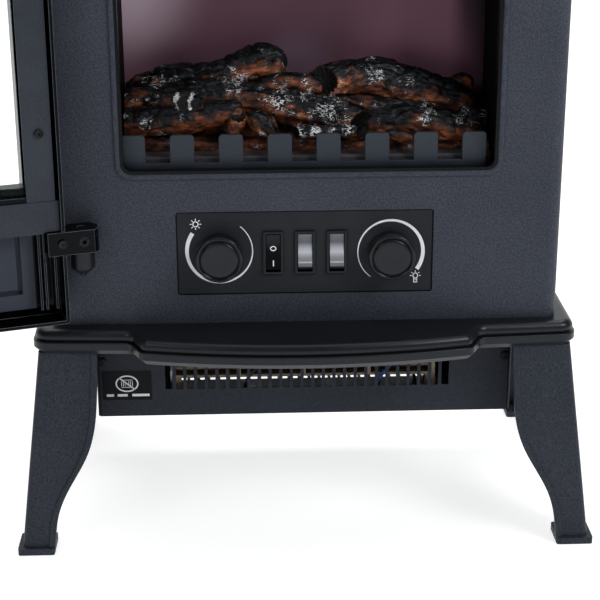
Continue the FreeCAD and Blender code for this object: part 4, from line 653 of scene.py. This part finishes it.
# ------------------------------------------------------------
# Flame effect: stencil, spindle with its fins, motor, supports and lamps behind the screen.
# Bright foil, galvanised brackets, glazed holders and frosted bulbs.
clothe(coat("bright_foil", (0.68, 0.68, 0.70), (0.82, 0.82, 0.84), 0.18, 0.08, 500, 50, 0.4, 0.0003, 1.0),
       "flame_stencil", "flicker_spindle")
clothe(coat("galvanised_sheet", (0.30, 0.31, 0.32), (0.46, 0.47, 0.48),
            0.38, 0.1, 120, 45, 0.15, 0.0001, 1.0),
       "spindle_motor", "spindle_supports", "lamp_bracket", "base_tray", "blower_casing")
clothe(coat("lamp_porcelain", (0.66, 0.63, 0.55), (0.76, 0.73, 0.66), 0.3, 0.05, 900, 60, 0.1),
       "lamp_holders")
clothe(coat("bulb_frosted", (0.80, 0.76, 0.68), (0.88, 0.84, 0.76), 0.25, 0.05, 900, 60, 0.1), "flame_lamps")


# ------------------------------------------------------------
# Control plate: a flat plate behind the opening in the shell, with the switches and the two knobs on it.
# Matt black sheet, gloss black switch housings, and a satin ABS knob pressed on each shaft.
plate_black = coat("plate_matt_black_painted_gap_shade", (0.0190, 0.0200, 0.0240), (0.0250, 0.0262, 0.0315),
                   0.52, 0.05, 1400, 40, 0.3, specular=0.12)


def between(tree, source, low, high):
    """1 from low to high, 0 outside."""
    return figure(tree, "COMPARE", source, (low + high) / 2, (high - low) / 2)


def plate_with_painted_gap_shade(inset):
    """Painted shade: near black outside the inset, along the outline where the plate dips under the front of
    the shell, standing for the shadow in the gap.
    """
    low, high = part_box("control_plate")
    tree = plate_black.node_tree
    axes = split_place(tree)[1]
    inside = [between(tree, axes[title], low[k] + inset, high[k] - inset)
              for k, title in ((0, "X"), (2, "Z"))]
    recolour(tree, figure(tree, "MULTIPLY", *inside), low=(0.0012, 0.0012, 0.0014))


# Painted shade round the plate's outline.
plate_with_painted_gap_shade(0.0059)
clothe(plate_black, "control_plate")
clothe(coat("switch_gloss_black", (0.0035, 0.0035, 0.004), (0.005, 0.005, 0.0055),
            0.22, 0.03, 1600, 60, 0.06, specular=0.25, edge=0.0004), "switch_housings", "power_rocker")


# ------------------------------------------------------------
# Heat rockers: two smoked lens keys; the bright band across the crown and the light lip low down are painted
# reflections.
# Moulded in translucent grey polycarbonate and snapped on their trunnions.
def lens_painted_reflection():
    """Painted reflection: grey and bright bands up the key, each a stop of one ramp along Z."""
    material, tree, shader = plain_finish("rocker_lens_painted_reflection", 0.0, 0.22)
    key_foot, key_crown = 0.2065, 0.2315
    # Painted reflection: the bright stops stand for a soft box reflected in the key.
    bands = ramped(tree, ranged(tree, split_place(tree)[1]["Z"], key_foot, key_crown), (
        (0.0, (0.010, 0.010, 0.012)), (0.10, (0.012, 0.012, 0.014)), (0.13, (0.16, 0.165, 0.18)),
        (0.20, (0.17, 0.175, 0.19)), (0.22, (0.55, 0.56, 0.60)), (0.255, (0.20, 0.205, 0.22)),
        (0.36, (0.26, 0.27, 0.29)), (0.50, (0.52, 0.54, 0.58)), (0.60, (0.40, 0.42, 0.46)),
        (0.76, (0.095, 0.10, 0.115)), (0.92, (0.12, 0.125, 0.14)), (1.0, (0.22, 0.23, 0.25))))
    tree.links.new(bands, shader.inputs["Base Color"])
    bumped(tree, noise(tree, 260.0), 0.15, 0.0002)
    return material


clothe(lens_painted_reflection(), "low_heat_rocker", "high_heat_rocker")
clothe(coat("control_bodies", (0.02, 0.02, 0.022), (0.03, 0.03, 0.033), 0.5, 0.05, 900, 60, 0.2),
       "thermostat", "dimmer", "thermal_cutout")
clothe(coat("turned_brass", (0.55, 0.38, 0.14), (0.66, 0.48, 0.20), 0.3, 0.06, 1800, 70, 0.2, 0.00005, 1.0),
       "neck_nuts", "blower_bearings")
knob_black = coat("knob_satin_black", (0.0040, 0.0043, 0.0052), (0.0060, 0.0064, 0.0076),
                  0.24, 0.04, 1600, 60, 0.1, specular=0.32, edge=0.0005)


def outward(name, points, faces):
    """Mesh of these points and faces, with the faces turned outward."""
    data = bpy.data.meshes.new(name)
    data.from_pydata(points.tolist(), [], faces)
    whole = bmesh.new()
    whole.from_mesh(data)
    bmesh.ops.recalc_face_normals(whole, faces=whole.faces)
    whole.to_mesh(data)
    whole.free()
    return data


def turned_knob(name, node, body):
    """Surface of revolution: radius against height off the plate, turned about the dial's axis in even steps.

    The profile is in millimetres. It starts with the bore that clears the shaft's neck and ends on the crown.
    """
    low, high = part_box(node)
    profile = np.array((
        (0.0, 14.9), (3.1, 14.9), (3.1, 5.4), (11.0, 5.4), (11.5, 0.0), (14.2, 0.0), (14.8, 0.5),
        (15.2, 2.0), (15.5, 6.0), (15.9, 11.0), (16.2, 13.6), (16.2, 14.5), (15.9, 15.3), (15.3, 15.75),
        (14.6, 15.8), (13.9, 15.55), (13.5, 15.1), (13.2, 14.5), (12.9, 14.5), (12.7, 15.1), (12.3, 15.6),
        (11.6, 15.85), (9.0, 15.75), (5.0, 15.55), (0.0, 15.45),
    )) / 1000
    turns = 96
    angle = np.linspace(0, 2 * math.pi, turns, endpoint=False)
    inner = profile[1:-1]
    ring = np.stack([np.cos(angle), np.zeros(turns), np.sin(angle)], axis=1)
    points = inner[:, 0][:, None, None] * ring[None] + inner[:, 1][:, None, None] * np.array((0, -1.0, 0))
    points = points.reshape(-1, 3)
    ends = np.array([(0, -profile[0, 1], 0), (0, -profile[-1, 1], 0)])
    points = np.concatenate([points, ends]) + ((low[0] + high[0]) / 2, high[1], (low[2] + high[2]) / 2)
    hops = np.arange(turns)
    nexts = (hops + 1) % turns
    last = (len(inner) - 1) * turns
    first_fan = np.stack([nexts, hops, np.full(turns, len(points) - 2)], -1)
    last_fan = np.stack([last + hops, last + nexts, np.full(turns, len(points) - 1)], -1)
    faces = tube_quads(len(inner), turns).tolist() + first_fan.tolist() + last_fan.tolist()
    data = outward(name, points, faces)
    data.shade_smooth()
    data.materials.append(knob_black)
    item = placed(name, data)
    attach(item, body)
    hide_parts(node)


turned_knob("thermostat_grip", "thermostat_knob", "thermostat_dial")
turned_knob("dimmer_grip", "dimmer_knob", "dimmer_dial")


# ------------------------------------------------------------
# Dial marks: two tapering arcs, a sun for heat and a lamp for light, and the power key's ring and bar.
# Screen printed in white ink, a tenth of a millimetre thick.
def printed(name, strips, lie, body):
    """Flat print: each strip is a ribbon between two front-plane curves; lie is its depth at a height."""
    proud, sunk = 0.00012, 0.00004
    points, faces = [], []
    offset = 0
    for one, two, closed in strips:
        n = len(one)
        layers = []
        for curve in (one, two):
            depth = lie(curve[:, 1])
            layers.append(np.stack([curve[:, 0], depth - proud, curve[:, 1]], axis=1))
            layers.append(np.stack([curve[:, 0], depth + sunk, curve[:, 1]], axis=1))
        points.append(np.concatenate([layers[0], layers[2], layers[3], layers[1]]))
        here = np.arange(n if closed else n - 1)
        there = (here + 1) % n
        for a in range(4):
            b = (a + 1) % 4
            quad = np.stack([a * n + here, a * n + there, b * n + there, b * n + here], axis=1) + offset
            faces += quad.tolist()
        if not closed:
            faces.append([offset, offset + n, offset + 2 * n, offset + 3 * n])
            faces.append([offset + n - 1, offset + 4 * n - 1, offset + 3 * n - 1, offset + 2 * n - 1])
        offset += 4 * n
    item = placed(name, outward(name, np.concatenate(points), faces))
    item.data.materials.append(print_white)
    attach(item, body)


def arc(cx, cz, radius, start, stop, wide, thin, n=72):
    """Ribbon along a circle whose width eases from one end to the other."""
    angle = np.radians(np.linspace(start, stop, n))
    half = (thin + (wide - thin) * np.linspace(1, 0, n) ** 1.3) / 2
    ring = np.stack([np.cos(angle), np.sin(angle)], axis=1)
    middle = np.array([cx, cz])
    return middle + ring * (radius + half)[:, None], middle + ring * (radius - half)[:, None], False


def oval(cx, cz, rx, rz, width, n=40):
    """Closed ribbon round an ellipse."""
    angle = np.linspace(0, 2 * math.pi, n, endpoint=False)
    ring = np.stack([np.cos(angle), np.sin(angle)], axis=1)
    middle = np.array([cx, cz])
    return middle + ring * (rx, rz), middle + ring * (rx - width, rz - width), True


def bar(x0, z0, x1, z1, width):
    """Straight ribbon between two points."""
    ends = np.array([[x0, z0], [x1, z1]])
    run = ends[1] - ends[0]
    across = np.array([-run[1], run[0]]) / np.linalg.norm(run) * width / 2
    return ends + across, ends - across, False


def rays(cx, cz, inner, outer, angles, width):
    """Short bars that point away from a centre."""
    ends = [(math.cos(math.radians(a)), math.sin(math.radians(a))) for a in angles]
    return [bar(cx + inner * c, cz + inner * s, cx + outer * c, cz + outer * s, width) for c, s in ends]


print_white = coat("print_white", (0.78, 0.79, 0.82), (0.88, 0.89, 0.92), 0.5, 0.05, 1200, 90, 0.1)
plate_low, plate_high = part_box("control_plate")
plate_x = (plate_low[0] + plate_high[0]) / 2


def on_plate(z):
    """Depth of the plate's front."""
    return np.full(len(z), plate_low[1])


sun_x = plate_x - 0.0744
lamp_x = plate_x + 0.0761
dial_strips = [
    arc(plate_x - 0.0583, 0.2200, 0.0224, 144.6, 410.8, 0.0029, 0.0005),
    arc(plate_x + 0.0586, 0.2179, 0.0224, -34.7, 232.7, 0.0029, 0.0005),
    oval(sun_x, 0.2394, 0.0021, 0.0021, 0.0007),
    oval(lamp_x, 0.2003, 0.0019, 0.0022, 0.0006),
    bar(lamp_x - 0.0011, 0.1984, lamp_x - 0.0011, 0.1958, 0.0005),
    bar(lamp_x + 0.0011, 0.1984, lamp_x + 0.0011, 0.1958, 0.0005),
    bar(lamp_x - 0.0014, 0.1956, lamp_x + 0.0014, 0.1956, 0.0006),
    bar(lamp_x - 0.0014, 0.1972, lamp_x + 0.0014, 0.1972, 0.0004),
]
dial_strips += rays(sun_x, 0.2394, 0.0026, 0.0039, range(0, 360, 45), 0.0006)
dial_strips += rays(lamp_x, 0.2003, 0.0026, 0.0037, (0, 42, 90, 138, 180), 0.0005)
printed("dial_marks", dial_strips, on_plate, "cabinet")

power_low, power_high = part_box("power_rocker")
power_x = (power_low[0] + power_high[0]) / 2
power_key = nodes["power_rocker"]


def on_power_key(z):
    """Depth of the power key's face, from three feeler rays and a parabola through them."""
    heights = (0.2105, 0.2160, 0.2225)
    depths = [power_key.ray_cast((power_x, power_low[1] - 0.02, h), (0, 1, 0))[1][1] for h in heights]
    return np.polyval(np.polyfit(heights, depths, 2), z)


printed("power_key_marks", [oval(power_x, 0.2216, 0.0021, 0.0017, 0.0006),
                            bar(power_x, 0.2136, power_x, 0.2100, 0.0007)], on_power_key, "power_switch")


# ------------------------------------------------------------
# Door: a moulded frame round a toughened pane, on two pins, with steel strips that hold the glass.
# Gloss black ABS with a painted highlight on its edges, satin knuckles and strips, nickel-plated catch
# magnets.
door_gloss_with_painted_highlight = coat("door_gloss_black_painted_edge_highlight", (0.0008, 0.0009, 0.0012), (0.0016, 0.0018, 0.0022),
                  # Painted highlight: rim is the pale colour painted on the bevelled edges.
                  0.12, 0.03, 1500, 18, 0.08, specular=0.10, edge=0.0008, rim=(0.16, 0.18, 0.21))
clothe(door_gloss_with_painted_highlight, "door_handle", "hinge_arms")
clothe(coat("barrel_satin", (0.0055, 0.0060, 0.0075), (0.0095, 0.0105, 0.0130),
            0.34, 0.05, 1200, 60, 0.2, specular=0.3, edge=0.0005), "door_knuckles", "hinge_pins")


def door_moulding(swing):
    """Gloss black with its painted edge highlight in the ribbed channels; satin blue-grey where the back of
    the moulding lies between them.

    Coordinates are turned about the hinge by the swing, so that the limits are those of the closed door.
    """
    material = door_gloss_with_painted_highlight.copy()
    material.name = "door_moulding"
    tree = material.node_tree
    hinge_low, hinge_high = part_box("hinge_pins")
    axis_x = (hinge_low[0] + hinge_high[0]) / 2
    axis_y = (hinge_low[1] + hinge_high[1]) / 2
    turn = tree.nodes.new("ShaderNodeMapping")
    turn.vector_type = "POINT"
    turn.inputs["Rotation"].default_value = (0, 0, swing)
    turn.inputs["Location"].default_value = (-(axis_x * math.cos(swing) - axis_y * math.sin(swing)),
                                             -(axis_x * math.sin(swing) + axis_y * math.cos(swing)), 0)
    split = tree.nodes.new("ShaderNodeSeparateXYZ")
    tree.links.new(tree.nodes.new("ShaderNodeTexCoord").outputs["Object"], turn.inputs["Vector"])
    tree.links.new(turn.outputs["Vector"], split.inputs["Vector"])
    limits = (("X", 0.0318, 0.2754), ("Z", 0.1877, 0.2440), ("Y", -0.0090, -0.0030))
    across, upright, through = [between(tree, split.outputs[title], low, high) for title, low, high in limits]
    face = figure(tree, "MULTIPLY", figure(tree, "MULTIPLY", across, upright), through)
    recolour(tree, face, high=(0.040, 0.045, 0.060))
    return material


clothe(door_moulding(math.radians(162)), "door_frame")
clothe(coat("retainer_satin", (0.017, 0.020, 0.028), (0.029, 0.033, 0.044),
            0.42, 0.05, 900, 24, 0.3, specular=0.3, edge=0.0004), "glass_retainers")
clothe(coat("nickel_magnet", (0.50, 0.48, 0.44), (0.60, 0.58, 0.54), 0.22, 0.06, 1800, 90, 0.1, 0.00005, 1.0),
       "catch_magnets")
door_glass, _, glass_shader = plain_finish("toughened_glass", 0.0, 0.0, 1.08)
glass_shader.inputs["Transmission Weight"].default_value = 1.0
glass_shader.inputs["Base Color"].default_value = (0.93, 0.96, 0.95, 1)
clothe(door_glass, "door_glass")


# ------------------------------------------------------------
# Heater: the housing under the plinth with its outlet slots, the fan and the elements in it, and its label.
# Powder-coated steel round an aluminium rotor, wound motor and wire on mica, and a black film label.
clothe(coat("housing_powder_coat", (0.012, 0.014, 0.021), (0.024, 0.028, 0.038),
            0.56, 0.05, 950, 9, 0.6, mottle=0.6, specular=0.25), "heater_housing")
clothe(coat("label_film", (0.0035, 0.0035, 0.0036), (0.0050, 0.0050, 0.0052),
            0.4, 0.05, 900, 60, 0.1, specular=0.12), "caution_label")
clothe(coat("impeller_aluminium", (0.45, 0.46, 0.47), (0.58, 0.59, 0.60),
            0.36, 0.08, 900, 70, 0.2, 0.0001, 1.0), "impeller", "motor_rotor")
clothe(coat("motor_lamination", (0.10, 0.10, 0.105), (0.16, 0.16, 0.165),
            0.5, 0.08, 900, 70, 0.3, 0.0001, 1.0), "motor_stator")
clothe(coat("enamelled_copper", (0.36, 0.13, 0.04), (0.48, 0.19, 0.07),
            0.3, 0.08, 1200, 90, 0.4, 0.0002, 1.0), "motor_coil")
clothe(coat("mica_board", (0.30, 0.24, 0.16), (0.42, 0.35, 0.25), 0.55, 0.08, 500, 70, 0.3), "element_frame")
clothe(coat("oxidised_wire", (0.16, 0.12, 0.10), (0.24, 0.19, 0.16), 0.45, 0.08, 1500, 120, 0.2, 0.0001, 1.0),
       "heating_coils")
lead_sleeve_with_painted_shade = coat("blue_sleeve_with_painted_shade", (0.02, 0.06, 0.30), (0.03, 0.09, 0.40), 0.45, 0.05, 1200, 60, 0.2)


def leads_with_painted_shade(parting):
    """Painted shade: the lead left of the parting is coloured near black, standing for shade in the housing;
    blue on the other.
    """
    tree = lead_sleeve_with_painted_shade.node_tree
    right_of_it = figure(tree, "GREATER_THAN", split_place(tree)[1]["X"], parting)
    # Painted shade: near black left of the parting.
    recolour(tree, right_of_it, low=(0.006, 0.006, 0.007))


leads_with_painted_shade(0.13)
clothe(lead_sleeve_with_painted_shade, "heater_leads")


# ------------------------------------------------------------
# Caution print: a ring and slash over a small heater sign, with plain bars below instead of words.
# White ink on the black film label.
label_low, label_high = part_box("caution_label")
label_x = (label_low[0] + label_high[0]) / 2
sign_z = label_high[2] - 0.0098


def on_label(z):
    """Depth of the label's front."""
    return np.full(len(z), label_low[1])


def sloped(cx, cz, dx, dz, width):
    """Bar centred on a point."""
    return bar(cx - dx, cz - dz, cx + dx, cz + dz, width)


label_strips = [
    oval(label_x, sign_z, 0.0082, 0.0064, 0.0010, 56),
    sloped(label_x, sign_z, 0.0056, -0.0046, 0.0011),
    sloped(label_x, sign_z - 0.0028, 0.0040, 0.0, 0.0004),
    sloped(label_x, sign_z + 0.0028, 0.0040, 0.0, 0.0004),
]
label_strips += [sloped(label_x + k * 0.0013, sign_z, 0.0, 0.0019, 0.0004) for k in (-3, -2, -1, 1, 2, 3)]
label_strips += [sloped(label_x + c, label_low[2] + 0.0036, half, 0.0, 0.0019)
                 for c, half in ((-0.0122, 0.0026), (-0.0035, 0.0036), (0.0096, 0.0062))]
printed("caution_print", label_strips, on_label, "cabinet")


# ------------------------------------------------------------
# Studio: a pale seamless floor and back wall, soft lights, and the camera.
def seamless():
    """Sweep: a floor that turns up into a wall by a quarter circle, carried sideways."""
    reach, bend, radius, top = 60.0, 6.0, 0.8, 5.0
    turn = np.linspace(0, math.pi / 2, 24)
    y = np.concatenate([[-reach], bend + radius * np.sin(turn), [bend + radius]])
    z = np.concatenate([[0.0], radius - radius * np.cos(turn), [top]])
    x = np.array([-reach, reach])
    points = np.stack([np.repeat(x, len(y)), np.tile(y, 2), np.tile(z, 2)], axis=1)
    n = len(y)
    faces = [(i, n + i, n + i + 1, i + 1) for i in range(n - 1)]
    data = bpy.data.meshes.new("studio_sweep")
    data.from_pydata(points.tolist(), [], faces)
    data.shade_smooth()
    return placed("studio_sweep", data)


studio_sweep = seamless()
paper, _, paper_shader = plain_finish("studio_paper", 0.0, 0.9)
paper_shader.inputs["Base Color"].default_value = (0.50, 0.50, 0.50, 1)
paper_shader.inputs["Emission Color"].default_value = (1.0, 1.0, 1.0, 1)
paper_shader.inputs["Emission Strength"].default_value = 0.72
studio_sweep.data.materials.append(paper)


def soft_light(name, place, aim, width, height, power, tint=(1, 1, 1)):
    """A rectangular soft box at a place, turned to its aim."""
    data = bpy.data.lights.new(name, "AREA")
    data.shape = "RECTANGLE"
    data.size = width
    data.size_y = height
    data.energy = power
    data.color = tint
    lamp = placed(name, data)
    lamp.location = place
    away = np.array(place) - np.array(aim)
    tilt = math.atan2(math.hypot(away[0], away[1]), away[2])
    lamp.rotation_euler = (tilt, 0, math.atan2(away[0], -away[1]))


soft_light("overhead_box", (0.0, 0.3, 2.6), (0, 0.3, 0), 2.4, 2.4, 34)
soft_light("key_box", (1.0, -0.8, 1.1), (0.25, 0.0, 0.45), 0.55, 0.55, 11)
soft_light("left_box", (-0.9, -1.2, 1.2), (0.1, 0, 0.45), 0.5, 0.5, 4)
soft_light("wall_wash", (0.0, 1.6, 2.8), (0, 2.6, 0.0), 3.0, 0.6, 70)

world = bpy.data.worlds.new("studio_air")
world.use_nodes = True
world.node_tree.nodes["Background"].inputs["Color"].default_value = (0.9, 0.93, 1.0, 1)
world.node_tree.nodes["Background"].inputs["Strength"].default_value = 0.06
bpy.context.scene.world = world
bpy.context.scene.view_settings.view_transform = "Standard"

lens = bpy.data.cameras.new("studio_camera")
lens.lens = 94.48
lens.sensor_width = 36.0
lens.clip_start = 0.05
lens.shift_y = 0.0521
camera = placed("studio_camera", lens)
bpy.context.scene.camera = camera
yaw = math.radians(2.02)
pitch = math.radians(20.63)
roll = math.radians(0.25)
forward = np.array([math.sin(yaw) * math.cos(pitch), math.cos(yaw) * math.cos(pitch), -math.sin(pitch)])
level = np.array([math.cos(yaw), -math.sin(yaw), 0.0])
down = np.cross(forward, level)
right = math.cos(roll) * level + math.sin(roll) * down
up = -(-math.sin(roll) * level + math.cos(roll) * down)
place = np.eye(4)
place[:3, 0] = right
place[:3, 1] = up
place[:3, 2] = -forward
shell_low, shell_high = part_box("cabinet_shell")
cabinet_depth = 0.215
front_middle = np.array([(shell_low[0] + shell_high[0]) / 2, shell_high[1] - cabinet_depth, 0.0])
from_front = (-0.03996, -1.02666, 0.54772)
place[:3, 3] = front_middle + from_front
camera.matrix_world = Matrix(place.tolist())
